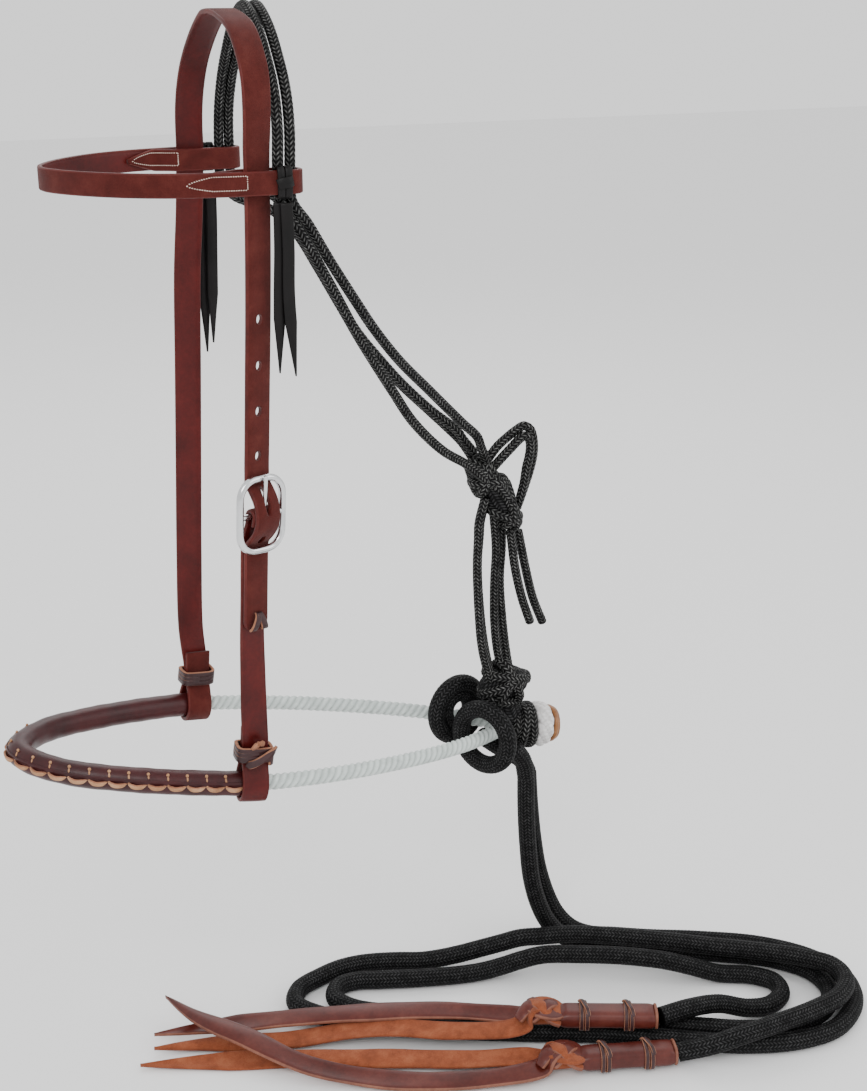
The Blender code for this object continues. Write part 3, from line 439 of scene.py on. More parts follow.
def strap(name, stations, width, thick, mats, body, node=(), spacing=0.0018, shape=None,
          groove=0.00016, bow=None):
    """A strap along (centre, width direction) stations; shape scales its width along it."""
    rows = spline([(*p, *a) for p, a in stations], spacing)
    c, across = rows[:, :3], rows[:, 3:]
    t = tangents(c)
    across = across - t * (across * t).sum(axis=1)[:, None]
    across = across / length_of(across)[:, None]
    normal = np.cross(across, t)
    v = along(c)
    section, marks = strap_section(width, thick, groove)
    k = shape(v, v[-1]) if shape else np.ones(len(v))
    rings = []
    for i in range(len(c)):
        rise = bow(v[i] / v[-1]) if bow else 0.0
        rings.append([c[i] + across[i] * (a * k[i])
                      + normal[i] * (b + rise * (1.0 - (2.0 * a / width) ** 2))
                      for a, b in section])
    mesh = loft_mesh(name, rings, v, slots=marks)
    bmesh_out(mesh)
    return piece(name, mesh, mats, body, node)


def bmesh_out(mesh):
    """Make a closed mesh's faces point out."""
    shape = bmesh.new()
    shape.from_mesh(mesh)
    bmesh.ops.recalc_face_normals(shape, faces=shape.faces)
    shape.to_mesh(mesh)
    shape.free()


def punch(target, cutters):
    """Cut holes through a piece and bake the cuts."""
    for cutter in cutters:
        step = target.modifiers.new("hole", "BOOLEAN")
        step.operation = "DIFFERENCE"
        step.solver = "EXACT"
        step.object = cutter
    bpy.context.view_layer.update()
    graph = bpy.context.evaluated_depsgraph_get()
    mesh = bpy.data.meshes.new_from_object(target.evaluated_get(graph))
    target.modifiers.clear()
    target.data = mesh
    for cutter in cutters:
        bpy.data.objects.remove(cutter)


def oval_cutter(place, width, height, depth, count=24):
    """An upright oval prism to punch a hole with."""
    mesh = bpy.data.meshes.new("cutter")
    shape = bmesh.new()
    rings = []
    for z in (-depth / 2, depth / 2):
        rings.append([shape.verts.new((width / 2 * math.cos(2 * math.pi * k / count),
                                       height / 2 * math.sin(2 * math.pi * k / count), z))
                      for k in range(count)])
    shape.faces.new(reversed(rings[0]))
    shape.faces.new(rings[1])
    for k in range(count):
        q = (k + 1) % count
        shape.faces.new((rings[0][k], rings[0][q], rings[1][q], rings[1][k]))
    shape.to_mesh(mesh)
    shape.free()
    mesh.materials.append(STRAP_EDGE_HIGHLIGHT)
    made = bpy.data.objects.new("cutter", mesh)
    bpy.context.scene.collection.objects.link(made)
    made.matrix_world = place
    return made


def bead_mesh(name, places, sides=8, rings=5):
    """Many small rounded stitches in one mesh: (centre, half vector, width, height, normal)."""
    verts, faces = [], []
    for centre, half, width, height, normal in places:
        centre, half, normal = (np.array(list(q), float) for q in (centre, half, normal))
        long = length_of(half)
        t = half / long
        normal = normal - t * normal.dot(t)
        normal /= length_of(normal)
        side = np.cross(t, normal)
        first = len(verts)
        verts.append(centre - half)
        for i in range(1, rings):
            a = math.pi * i / rings
            fat = math.sin(a) ** 0.6
            for j in range(sides):
                b = 2 * math.pi * j / sides
                verts.append(centre - t * long * math.cos(a) + side * width * fat * math.cos(b)
                             + normal * height * fat * math.sin(b))
        verts.append(centre + half)
        last = len(verts) - 1
        for j in range(sides):
            q = (j + 1) % sides
            faces.append((first, first + 1 + q, first + 1 + j))
            faces.append((last, last - sides + j, last - sides + q))
            for i in range(rings - 2):
                row = first + 1 + i * sides
                faces.append((row + j, row + q, row + sides + q, row + sides + j))
    mesh = bpy.data.meshes.new(name)
    mesh.from_pydata([list(map(float, v)) for v in verts], [], faces)
    bmesh_out(mesh)
    return mesh


def lace(name, route, width, thick, mats, body, node=(), hint=UP, ends=(0.0, 0.0),
         spacing=0.0012, closed=False):
    """A flat lace: dark on its faces and raw on its edges; hint is its width direction."""
    c = spline(route, spacing, closed)[:, :3]
    t = tangents(c, closed)
    across = np.array(hint, float) - t * (t @ np.array(hint, float))[:, None]
    across /= length_of(across)[:, None]
    normal = np.cross(across, t)
    v = along(c)
    h, q = width / 2, thick / 2
    section = [(-h, 0.4 * q), (-h + 0.0003, q), (-h * 0.4, 1.15 * q), (h * 0.4, 1.15 * q),
               (h - 0.0003, q), (h, 0.4 * q), (h, -0.4 * q), (h - 0.0003, -q), (0.0, -q),
               (-h + 0.0003, -q), (-h, -0.4 * q)]
    marks = [1, 0, 0, 0, 1, 1, 1, 0, 0, 1, 1]
    k = np.ones(len(v))
    for reach, gone in ((ends[0], v), (ends[1], v[-1] - v)):
        if reach:
            k = k * np.clip(0.1 + 0.9 * gone / reach, 0.1, 1.0)
    rings = [[c[i] + across[i] * (a * k[i]) + normal[i] * b for a, b in section]
             for i in range(len(c))]
    mesh = loft_mesh(name, rings, v, slots=marks, closed=closed)
    bmesh_out(mesh)
    return piece(name, mesh, mats, body, node)


# ---- the headstall's shape ----------------------------------------------------------------------
STRAP_W, STRAP_T, CHAPE_T = 0.016, 0.0028, 0.0024
LEG_Y, LEG_TWIST, ARCH_Z = 0.062, math.radians(18), -0.075
LEAN_TOP_Z, LEAN, BOW = -0.09, 0.048, {-1: 0.0008, 1: -0.0026}
NOSE_Z, NOSE_TILT, NOSE_Y, NOSE_SPLAY = -0.4366, -0.149, 0.06, 0.075
ROPE_R, COVER_R, LOOP_R, CHEEK_X = 0.00475, 0.0075, 0.0095, -0.0165
CHEEK_Z = NOSE_Z + NOSE_TILT * CHEEK_X
BAR_Z, BAR_OUT = -0.2645, 0.0046
BUCKLE_W, BUCKLE_H = 0.0288, 0.0418
HOLE_PITCH, FIRST_HOLE_Z = 0.0254, -0.1553
BROW_Z, BROW_W, BROW_T, BROW_OUT, BROW_IN = -0.083, 0.0127, 0.0026, 0.0685, 0.0555
CORD_R, REIN_R = 0.0031, 0.0061
LIE, OVER = 1000 * FLOOR + 6.5, 1000 * FLOOR + 20


def lean_x(z, side):
    full = min(1.0, max(0.0, (LEAN_TOP_Z - z) / 0.05)) * min(1.0, max(0.0, (z + 0.415) / 0.05))
    return -LEAN * max(0.0, LEAN_TOP_Z - z) + BOW[side] * full


def strap_across(z, side):
    """Width direction of a leg at a height; side is -1 near, +1 off."""
    turn = LEG_TWIST * (min(1.0, z / ARCH_Z) if z < 0 else 0.0)
    low = min(1.0, max(0.0, (-0.33 - z) / 0.08))
    leg = Vector((math.cos(turn), -side * math.sin(turn), 0.0))
    return leg.lerp(Vector((1.0, side * NOSE_SPLAY, NOSE_TILT)), low)


def loop_round_noseband(side):
    places = [(-0.0018, 0.037), (-0.0018, 0.027), (-0.0018, 0.02)]
    places += [(LOOP_R * math.cos(math.radians(a)), LOOP_R * math.sin(math.radians(a)))
               for a in range(154, 387, 29)]
    places += [(0.0018, 0.02), (0.0019, 0.027)]
    points = []
    for out, up in places:
        rise = up if up < 0.01 else 0.01 + (up - 0.01) * 0.45
        x = CHEEK_X - NOSE_TILT * rise - NOSE_SPLAY * out
        points.append(Vector((x, side * (NOSE_Y + out), CHEEK_Z + up)))
    return points


def leg_frame(z):
    """Turn of the near leg at a height: X across it, Y up along it, Z outward."""
    up = Vector((LEAN, 0.0, 1.0)).normalized()
    across = strap_across(z, -1)
    across = (across - up * across.dot(up)).normalized()
    return Matrix((across, up, across.cross(up))).transposed().to_4x4()


def near_leg(out, z):
    x = lean_x(z, -1) + out * math.sin(LEG_TWIST)
    return Vector((x, -LEG_Y - out * math.cos(LEG_TWIST), z))


ARCH = mm([
    (61.7, -65.5), (60.3, -56), (57.5, -47.5), (53.2, -39.3), (46.8, -30.5), (38.8, -22.6),
    (30, -15.7), (21.3, -9.8), (14, -5.6), (9.7, -3.4), (6, -1.7), (1, 0.1)])
NEAR_ARCH = mm([
    (62.8, -65.5), (64.5, -56), (65.6, -46.3), (65.8, -38.5), (65, -31.5), (62.2, -24.4),
    (57, -17.3), (52.5, -12.6), (46.5, -7.9), (38.9, -4.2), (26, -1), (16, 0.6), (10, 1),
    (6, 0.8)])


def tapered(reach):
    """Width along a strap whose last reach runs to a round point."""
    def shape(v, total):
        k = np.clip((total - v) / reach, 0.0, 1.0)
        return np.maximum(0.3, np.sqrt(np.maximum(0.0, 1.0 - (1.0 - k) ** 2)))
    return shape


def make_straps():
    """The crown strap with its billet, and the near cheek strap."""
    line = [Vector((0, LEG_Y, z)) for z in (-0.38, -0.33, -0.27, -0.21, -0.15, -0.11)]
    line += [Vector((0, LEG_Y, ARCH_Z))] + [Vector((0, y, z)) for y, z in ARCH]
    line += [Vector((0, -y, z)) for y, z in reversed(NEAR_ARCH)]
    line += [Vector((0, -LEG_Y, z)) for z in (ARCH_Z, -0.11, -0.15, -0.19, -0.225)]
    for point in line:
        point.x = lean_x(point.z, 1 if point.y > 0 else -1)
    hump = [(0.0, 0.024), (0.0006, 0.018), (0.0046, 0.0136), (0.0085, 0.0088),
            (0.0104, 0.004), (0.0109, 0.0), (0.0104, -0.004), (0.0085, -0.0088),
            (0.0046, -0.0136), (0.0006, -0.018), (0.0, -0.024), (0.0, -0.03),
            (0.0, -0.05), (0.0, -0.0715)]
    line += [near_leg(out, BAR_Z + up) for out, up in hump]
    line = loop_round_noseband(+1) + line
    crown = strap("crown_strap_leather", [(p, strap_across(p.z, 1 if p.y > 0 else -1))
                                          for p in line],
                  STRAP_W, STRAP_T, [STRAP, STRAP_EDGE_HIGHLIGHT, STRAP_BACK], HEAD, "crown_strap",
                  shape=tapered(0.007))
    holes = [(near_leg(0, FIRST_HOLE_Z - k * HOLE_PITCH), 0.004, 0.0056) for k in range(4)]
    holes += [(near_leg(0.0042, BAR_Z - 0.0148), 0.004, 0.0056),
              (near_leg(0.006, BAR_Z + 0.0085), 0.0036, 0.0152)]
    cutters = []
    for k, (spot, width, height) in enumerate(holes):
        turn = leg_frame(spot.z if k < 4 else BAR_Z)
        cutters.append(oval_cutter(Matrix.Translation(spot) @ turn, width, height, 0.024))
    punch(crown, cutters)

    path = [near_leg(-0.0004, -0.385), near_leg(-0.0024, -0.358), near_leg(-0.0032, -0.34),
            near_leg(-0.0032, -0.315)]
    chape = [(-0.0033, -0.03), (-0.0031, -0.021), (-0.0024, -0.015), (-0.0006, -0.009),
             (0.001, -0.0045)]
    chape += [(BAR_OUT + 0.0033 * math.cos(math.radians(a)), 0.0033 * math.sin(math.radians(a)))
              for a in range(180, -31, -21)]
    chape.append((0.0067, -0.0056))
    path += [near_leg(out, BAR_Z + up) for out, up in chape]
    path = loop_round_noseband(-1) + path
    cheek = strap("near_cheek_leather", [(p, strap_across(p.z, -1)) for p in path], STRAP_W,
                  CHAPE_T, [STRAP, STRAP_EDGE_HIGHLIGHT, STRAP_BACK], HEAD, "near_cheek_strap",
                  spacing=0.001)
    slot = oval_cutter(Matrix.Translation(near_leg(BAR_OUT, BAR_Z + 0.0002)) @ leg_frame(BAR_Z),
                       0.0036, 0.01, 0.01)
    punch(cheek, [slot])


def make_buckle():
    """The oval frame, its centre bar and the bent-wire tongue."""
    place = Matrix.Translation(near_leg(BAR_OUT, BAR_Z)) @ leg_frame(BAR_Z)
    half_x, half_y, corner = BUCKLE_W / 2, BUCKLE_H / 2, 0.0105
    ring = []
    for sx, sy, start in ((1, 1, 0), (-1, 1, 90), (-1, -1, 180), (1, -1, 270)):
        for k in range(13):
            a = math.radians(start + 90 * k / 12)
            ring.append(place @ Vector((sx * (half_x - corner) + corner * math.cos(a),
                                        sy * (half_y - corner) + corner * math.sin(a), 0)))
    rope("buckle_ring", ring, 0.0021, STEEL, HEAD, "buckle_frame", sides=24, closed=True,
         hint=place.col[2][:3])
    bar = [place @ Vector((x * half_x, 0, 0)) for x in (-0.97, -0.5, 0.0, 0.5, 0.97)]
    rope("buckle_bar", bar, 0.0017, STEEL, HEAD, sides=20, hint=place.col[2][:3])
    path = [Vector((0.0, 0.0031 * math.sin(math.radians(a)), 0.0031 * math.cos(math.radians(a))))
            for a in range(100, 396, 12)]
    path += [Vector((0.0, 0.006, 0.003)), Vector((0.0, 0.012, 0.0033)),
             Vector((0.0, 0.019, 0.0037)), Vector((0.0, 0.0235, 0.0039))]
    rope("tongue_wire", [place @ p for p in path], 0.0012, STEEL, "tongue", "buckle_tongue",
         sides=16, spacing=0.0004, hint=place.col[0][:3], ends=(0.0004, 0.0008))


def wound(centre, across, up, half, rows, height, fat, lean=0.0, start=0.0, corner=0.42,
          steps=20):
    """Route of a lace wound round a flat strap: rows turns climbing by height."""
    x, z = Vector(across).normalized(), Vector(up).normalized()
    y = z.cross(x).normalized()
    z = x.cross(y)
    route = []
    total = int(rows * steps)
    for k in range(total + 1):
        a = 2 * math.pi * (k / steps) + start
        ex, ey = squared(a, corner)
        rise = height * (k / total - 0.5) + lean * math.cos(a)
        route.append(Vector(centre) + x * (ex * (half[0] + fat)) + y * (ey * (half[1] + fat))
                     + z * rise)
    return route


def make_cheek_laces():
    """The laces round the foot of each cheek strap and the lace knot by the billet."""
    for side, word, wide in ((-1, "near", 0.0104), (1, "off", 0.0098)):
        z = CHEEK_Z + 0.0205
        neck = loop_round_noseband(side)[-2]
        centre = Vector((neck.x, side * NOSE_Y, z))
        across, up = (1, side * NOSE_SPLAY, NOSE_TILT), Vector((0.1, 0, 1))
        half = (wide - 0.0016, 0.006)
        turns = wound(centre, across, up, half, 3.0, 0.0076, 0.0016, start=1.0 * side)
        lace(word + "_cheek_lace_turns", turns, 0.0042, 0.002, [LATIGO, LATIGO_EDGE], HEAD,
             word + "_cheek_lace", hint=up)
        x_dir = Vector(across).normalized()
        out = Vector((0, side, 0))
        tuck = [centre + x_dir * (0.0095 * a) + out * (0.008 + 0.0026 * b) + up * (0.0062 * c)
                for a, b, c in ((-0.75, 0.0, -0.9), (-0.3, 0.9, -0.5), (0.35, 1.05, 0.15),
                                (0.85, 0.8, 0.7), (1.15, 0.0, 1.1))]
        lace(word + "_cheek_lace_cross", tuck, 0.0046, 0.0018, [LATIGO, LATIGO_EDGE], HEAD,
             hint=(0.5, 0.0, 1.0), ends=(0.002, 0.004))
        if side < 0:
            nub = [centre + x_dir * (0.0062 * a) + out * (0.0066 + 0.0028 * b) + up * c
                   for a, b, c in ((-0.4, 0.0, 0.004), (-0.3, 0.9, 0.0078), (0.1, 0.9, 0.0094),
                                   (0.5, 0.2, 0.0074))]
            lace("near_cheek_lace_tip", nub, 0.004, 0.0018, [LATIGO_EDGE, LATIGO_EDGE], HEAD,
                 hint=(1, 0, 0.2), ends=(0.001, 0.002))
    knot = near_leg(0.0028, -0.329)
    turn = leg_frame(-0.329).to_3x3()
    for k, (shift, tilt) in enumerate(((-0.0022, 0.5), (0.0022, -0.5))):
        route = []
        for a in range(0, 190, 18):
            c, s = math.cos(math.radians(a)), math.sin(math.radians(a))
            route.append(knot + turn @ Vector((shift + tilt * 0.004 * c, 0.005 * c,
                                               0.0022 * s - 0.0002)))
        lace("billet_lace_%d" % (k + 1), route, 0.0042, 0.0016, [LATIGO, LATIGO_EDGE], HEAD,
             "billet_lace_knot" if k == 0 else (), hint=turn @ Vector((1, 0, 0)))


# ---- noseband -----------------------------------------------------------------------------------
NOSE_HALF = [(-0.1405, 0.0), (-0.138, 0.009), (-0.132, 0.018), (-0.1225, 0.0272),
             (-0.112, 0.0342), (-0.091, 0.043), (-0.069, 0.05), (-0.045, 0.0556),
             (CHEEK_X, NOSE_Y), (0.001, 0.0598), (0.027, 0.0572), (0.0553, 0.0525),
             (0.0856, 0.0452), (0.1186, 0.035), (0.142, 0.0254), (0.16, 0.016),
             (0.174, 0.008), (0.1812, 0.0054)]


LACE_PITCH, LACE_START = 0.0111, 0.013


def on_noseband(x, y=0.0):
    return Vector((x, y, NOSE_Z + NOSE_TILT * x))


def make_noseband():
    """The white rope, its rolled cover and the lacing sewn along the cover."""
    half = NOSE_HALF
    whole = [on_noseband(x, -y) for x, y in reversed(half)] + [on_noseband(x, y)
                                                               for x, y in half[1:]]
    _, line = rope("noseband_white_rope", whole, ROPE_R + 0.00015, WHITE, HEAD, "noseband_rope",
                   weave=laid(3, 0.0141, 0.3), sides=36, spacing=0.0009)
    front = line[line[:, 0] < CHEEK_X + 0.008]

    def rolled(share):
        return 1.0 + 0.012 * np.sin(share * 61.0) + 0.01 * np.sin(share * 143.0)

    rope("noseband_cover_leather", front, COVER_R, COVER, HEAD, "noseband_cover", sides=32,
         spacing=0.001, ends=(0.0012, 0.0012), squeeze=rolled)
    v = along(front)
    t = tangents(front)
    outer = np.cross(t, np.array(UP))
    outer = outer / length_of(outer)[:, None]
    if outer[len(outer) // 2, 0] > 0:
        outer = -outer
    normal = np.cross(outer, t)
    normal = normal * np.sign(normal[:, 2])[:, None]

    def at(s, angle, lift=0.0):
        """A point on the cover: s along it, angle from outward (0) to up (90 degrees)."""
        p = np.array([np.interp(s, v, front[:, k]) for k in range(3)])
        o = np.array([np.interp(s, v, outer[:, k]) for k in range(3)])
        n = np.array([np.interp(s, v, normal[:, k]) for k in range(3)])
        a = math.radians(angle)
        return Vector(p + (o * math.cos(a) + n * math.sin(a)) * (COVER_R + lift))

    count = int(v[-1] / 2 / LACE_PITCH) + 3
    stitches = []
    for k in range(count):
        s = LACE_START + k * LACE_PITCH
        low, high = at(s, -2, 0.0003), at(s + 0.0009, 50, 0.0003)
        face = Vector(at(s, 24, 1.0)) - Vector(at(s, 24, 0.0))
        stitches.append(((low + high) / 2, (high - low) / 2, 0.00075, 0.0005, face))
        dot = at(s + 0.001, 57, 0.0002)
        stitches.append((dot, Vector((0, 0, 0.001)), 0.001, 0.0008, face))
    mesh = bead_mesh("noseband_stitches", stitches, 8, 6)
    piece("noseband_stitches", mesh, [TAN], HEAD, "noseband_lacing")
    for k in range(count - 1):
        s = LACE_START + (k + 0.12) * LACE_PITCH
        route = [at(s + LACE_PITCH * a, angle, lift)
                 for a, angle, lift in ((0.02, 10, -0.0004), (0.18, 2, 0.0005),
                                        (0.4, -2, 0.0009), (0.62, -2, 0.0009),
                                        (0.8, 3, 0.0005), (0.94, 12, -0.0004))]
        face = at(s + LACE_PITCH * 0.5, 75, 1.0) - at(s + LACE_PITCH * 0.5, 75, 0.0)
        lace("noseband_wrap_%02d" % (k + 1), route, 0.0032, 0.0012, [TAN, LATIGO_EDGE], HEAD,
             hint=face, ends=(0.003, 0.003), spacing=0.0008)
    ridge = [at(s, 20, -0.0002) for s in np.arange(0.004, v[-1] / 2 + 0.03, 0.004)]
    lace("noseband_seam", ridge, 0.003, 0.0008, [COVER, COVER], HEAD, hint=(0, 0, 1),
         spacing=0.003)


def ring_route(centre, axis, radius, wobble, waves, phase, steps=48):
    """A closed route round an axis, waving along it."""
    w = Vector(axis).normalized()
    u = w.cross(Vector((0, 1, 0))).normalized()
    t = w.cross(u)
    points = []
    for k in range(steps):
        a = 2 * math.pi * k / steps
        points.append(Vector(centre) + u * (radius * math.cos(a)) + t * (radius * math.sin(a))
                      + w * (wobble * math.sin(waves * a + phase)))
    return points


CORD_WEAVE = braid(8, 0.003, 0.1, 1.0)
REIN_WEAVE = braid(16, 0.0024, 0.07, 1.0)


COLLAR_X, BUTTON_X, CAP_X = 0.193, 0.2088, 0.2184


def make_heel():
    """The collar of cord, the white button and the whipped cap, on the noseband's end."""
    axis = (1, 0, NOSE_TILT)
    for k, (shift, radius) in enumerate(((-0.0066, 0.0108), (0.0, 0.013), (0.0062, 0.0128))):
        route = ring_route(on_noseband(COLLAR_X + shift), axis, radius, 0.0012, 2, 1.3 * k)
        rope("heel_collar_turn_%d" % (k + 1), route, 0.0036, CORD, HEAD,
             "heel_collar" if k == 0 else (), weave=CORD_WEAVE, closed=True, hint=axis)
    rope("heel_collar_core", [on_noseband(COLLAR_X + d) for d in (-0.0095, -0.003, 0.003, 0.0095)],
         0.0112, BLACK, HEAD, weave=CORD_WEAVE, sides=40, hint=(0, 1, 0), ends=(0.002, 0.002))
    for k in range(3):
        turn = 2 * math.pi * k / 3
        route = []
        for i in range(32):
            a = 2 * math.pi * i / 32
            radius = 0.0108 + 0.0012 * math.cos(3 * a + turn)
            point = on_noseband(BUTTON_X + 0.0026 * math.sin(3 * a + turn))
            route.append(point + Vector((0, radius * math.cos(a), 0))
                         + Vector((-NOSE_TILT, 0, 1)).normalized() * (radius * math.sin(a)))
        rope("heel_button_strand_%d" % (k + 1), route, 0.0039, BUTTON, HEAD,
             "heel_button" if k == 0 else (), weave=braid(6, 0.0022, 0.06, 0.5), closed=True,
             hint=axis, sides=24)
    rope("heel_button_core", [on_noseband(BUTTON_X + d) for d in (-0.005, 0.0, 0.005)], 0.0118,
         BUTTON, HEAD, weave=laid(9, 0.02, 0.08), sides=48, hint=(0, 1, 0), ends=(0.002, 0.002))
    for k, (shift, radius, fat) in enumerate(((-0.0012, 0.0112, 0.0017), (0.0006, 0.0102, 0.0017),
                                              (0.0017, 0.008, 0.0014), (0.0021, 0.0052, 0.0014))):
        route = ring_route(on_noseband(CAP_X + shift), axis, radius, 0.0002, 3, k)
        rope("heel_cap_turn_%d" % (k + 1), route, fat, AMBER, HEAD,
             "heel_cap" if k == 0 else (), closed=True, hint=axis, sides=14)
    rope("heel_cap_core", [on_noseband(CAP_X + d) for d in (-0.0026, 0.0, 0.0021)], 0.0096,
         AMBER, HEAD, sides=32, hint=(0, 1, 0), ends=(0.001, 0.0012))


# ---- browband and ties -----------------------------------------------------------------------
LOOP_X = {-1: 0.0172, 1: 0.0225}
STITCH_STEP, STITCH_HIGH = 0.00125, 0.0042


def brow_side(side):
    loop_x = LOOP_X[side]
    mid, radius = (BROW_OUT + BROW_IN) / 2, (BROW_OUT - BROW_IN) / 2
    points = [(-0.038, 0.0598), (-0.03, 0.0617), (-0.0215, 0.0617), (-0.015, 0.0586),
              (-0.01, 0.056), (-0.002, BROW_IN), (0.008, BROW_IN), (loop_x, BROW_IN)]
    points += [(loop_x + radius * math.cos(math.radians(a)),
                mid + radius * math.sin(math.radians(a))) for a in (-60, -30, 0, 30, 60)]
    points += [(loop_x, BROW_OUT), (0.008, BROW_OUT), (-0.002, BROW_OUT), (-0.012, 0.0679),
               (-0.024, 0.066), (-0.038, 0.0627), (-0.052, 0.0572), (-0.065, 0.0496),
               (-0.0765, 0.04), (-0.0865, 0.0292), (-0.094, 0.0182), (-0.0985, 0.0085)]
    return points


def make_browband():
    """The band from loop to loop and the stitches of its turned-back ends."""
    near = [Vector((x, -y, BROW_Z)) for x, y in brow_side(-1)]
    off = [Vector((x, y, BROW_Z)) for x, y in brow_side(1)]
    line = near + [Vector((-0.0997, 0.0, BROW_Z))] + list(reversed(off))

    def both(v, total):
        k = np.clip(np.minimum(v, total - v) / 0.016, 0.0, 1.0)
        return 0.22 + 0.78 * k

    strap("browband_leather", [(p, (0, 0, -1)) for p in line], BROW_W, BROW_T,
          [STRAP, STRAP_EDGE_HIGHLIGHT, STRAP_BACK], "browband_slide", "browband", spacing=0.0014,
          shape=both)
    stitched = (("near", -1, slice(12, 20), (-0.038, -0.0072)),
                ("off", 1, slice(0, 8), (-0.036, -0.009)))
    for word, side, part, (first, last) in stitched:
        rows = spline([Vector((x, side * y, BROW_Z)) for x, y in brow_side(side)[part]], 0.0004)
        span = rows[(rows[:, 0] > first) & (rows[:, 0] < last)]
        t = tangents(span)
        out = np.cross(t, np.array(UP))
        out = out / length_of(out)[:, None]
        out = out * -np.sign(out[:, 1])[:, None]
        order = np.argsort(span[:, 0])
        span, t, out = span[order], t[order], out[order]
        reach = along(span)
        run = [(edge, v) for edge in (1, -1) for v in np.arange(0.0, reach[-1], STITCH_STEP)]
        run += [(0.9 - 0.28 * k, reach[-1]) for k in range(7)]
        stitches = []
        for edge, v in run:
            high = STITCH_HIGH * min(1.0, v / reach[-1] * 2.4) ** 0.6
            p, q, d = (np.array([np.interp(v, reach, each[:, k]) for k in range(3)])
                       for each in (span, out, t))
            z = high * edge if edge > 0 else 0.7 * high * edge
            centre = Vector(p + q * (BROW_T / 2 + 0.00014)) + Vector((0, 0, z))
            lean = Vector(d * 0.00046) + Vector((0, 0, 0.00012 * edge))
            if abs(edge) < 1:
                lean = Vector((0, 0, 0.00042))
            stitches.append((centre, lean, 0.0003, 0.00024, Vector(q)))
        name = word + "_browband_stitches"
        piece(name, bead_mesh(name, stitches, 6, 4), [THREAD], "browband_slide")


def make_ties():
    """The lace round each end of the browband and its two hanging tails."""
    tails = {-1: ((0.013, 0.0132, 0.0162, 0.094), (0.0098, 0.0086, 0.0078, 0.092)),
             1: ((0.0085, 0.007, 0.0065, 0.108), (0.0135, 0.0122, 0.01, 0.102))}
    for side, word in ((-1, "near"), (1, "off")):
        x = 0.0125 if side < 0 else 0.0115
        centre = Vector((x, side * BROW_OUT, BROW_Z))
        for k, (shift, tilt) in enumerate(((-0.0021, 0.0004), (0.0021, -0.0004))):
            route = wound(centre + Vector((shift, 0, 0)), (0, 1, 0), (1, 0, 0),
                          (0.0016, 0.0067), 1.0, tilt, 0.001, corner=0.5)[:-1]
            lace("%s_tie_turn_%d" % (word, k + 1), route, 0.004, 0.0014, [TIE, TIE],
                 "browband_slide", word + "_tie_wrap" if k == 0 else (), hint=(1, 0, 0),
                 closed=True)
        over = [centre + Vector((a, side * b, c))
                for a, b, c in ((-0.004, 0.0026, -0.001), (-0.002, 0.0036, -0.0002),
                                (0.0018, 0.0037, 0.0004), (0.0042, 0.0027, 0.001))]
        lace(word + "_tie_tuck", over, 0.0058, 0.0011, [TIE, TIE], "browband_slide",
             hint=UP, spacing=0.0006)
        out = BROW_OUT + 0.0018
        for letter, (top, middle, foot, drop) in zip("ab", tails[side]):
            layer = 0.0 if letter == "a" else 0.0022
            z_top = BROW_Z - 0.0102
            y = side * (out - layer)
            points = [Vector((top, y, z_top - 0.0003)),
                      Vector(((top + middle) / 2 + 0.0004, y - side * 0.0002, z_top - 0.024)),
                      Vector((middle, y - side * 0.0008, z_top - 0.05)),
                      Vector((foot, y - side * 0.002, z_top - drop))]
            lace("%s_tie_lace_%s" % (word, letter), points, 0.0066, 0.0014, [TIE, TIE],
                 "%s_tie_%s" % (word, letter), "%s_tie_tail_%s" % (word, letter),
                 hint=(1, 0.1 * side, 0), ends=(0.0, 0.03), spacing=0.0012)


# ---- fiador -----------------------------------------------------------------------------------
POLL = {
    "a": mm([
        (156, -8.5, -254), (143.3, -12.5, -242.1), (116.6, -22.1, -216.4), (92.9, -31.9, -193.6),
        (74.9, -39.3, -172.7), (60.6, -45.2, -153.2), (43.1, -52.4, -128.4), (29, -58.2, -107),
        (19, -61.6, -93.5), (18.5, -61.8, -78), (19.3, -60.6, -57), (20.3, -54, -39),
        (21.3, -40, -21.3), (22.2, -22.2, -5.6), (23, 0, 3.6), (24, 22.2, -5.6), (24.5, 40, -21.3),
        (24.6, 54, -39), (24.2, 60.6, -57), (24.1, 61.8, -78), (24.8, 61.2, -93.5), (32, 58, -101),
        (45.3, 52.8, -104.5), (58.5, 46.6, -121.2), (69.8, 40.4, -145.2), (81.3, 34.2, -169.6),
        (90.4, 28, -188), (103, 21.8, -205.5), (113.7, 16, -219.2), (131.5, 10, -237.7),
        (148, 5, -252)]),
    "b": mm([
        (147.8, -11, -270.4), (127.3, -18.6, -256.5), (103.6, -27.4, -233.2),
        (88.1, -33.9, -211.7), (73.9, -39.7, -191.2), (60.2, -45.4, -170.5), (49.2, -49.9, -151.9),
        (34.5, -55.9, -127.7), (22.5, -60.6, -109), (13.8, -61.6, -97), (11.8, -61.8, -78),
        (12.6, -60.6, -57), (13.6, -54, -39), (14.6, -40, -21.3), (15.5, -22.2, -5.6),
        (16.4, 0, 3.6), (17.3, 22.2, -5.6), (18.1, 40, -21.3), (18.5, 54, -39), (18.2, 60.6, -57),
        (17.7, 61.8, -78), (18.4, 62.2, -96), (26, 63, -106), (37, 62, -111), (49, 58.8, -116),
        (61.1, 52.8, -129), (72.4, 46.4, -150), (83.9, 40.2, -173), (93, 34, -191),
        (105.6, 28, -208.5), (116.3, 22.6, -222.2), (134.5, 16.6, -241), (149, 12, -256)]),
}


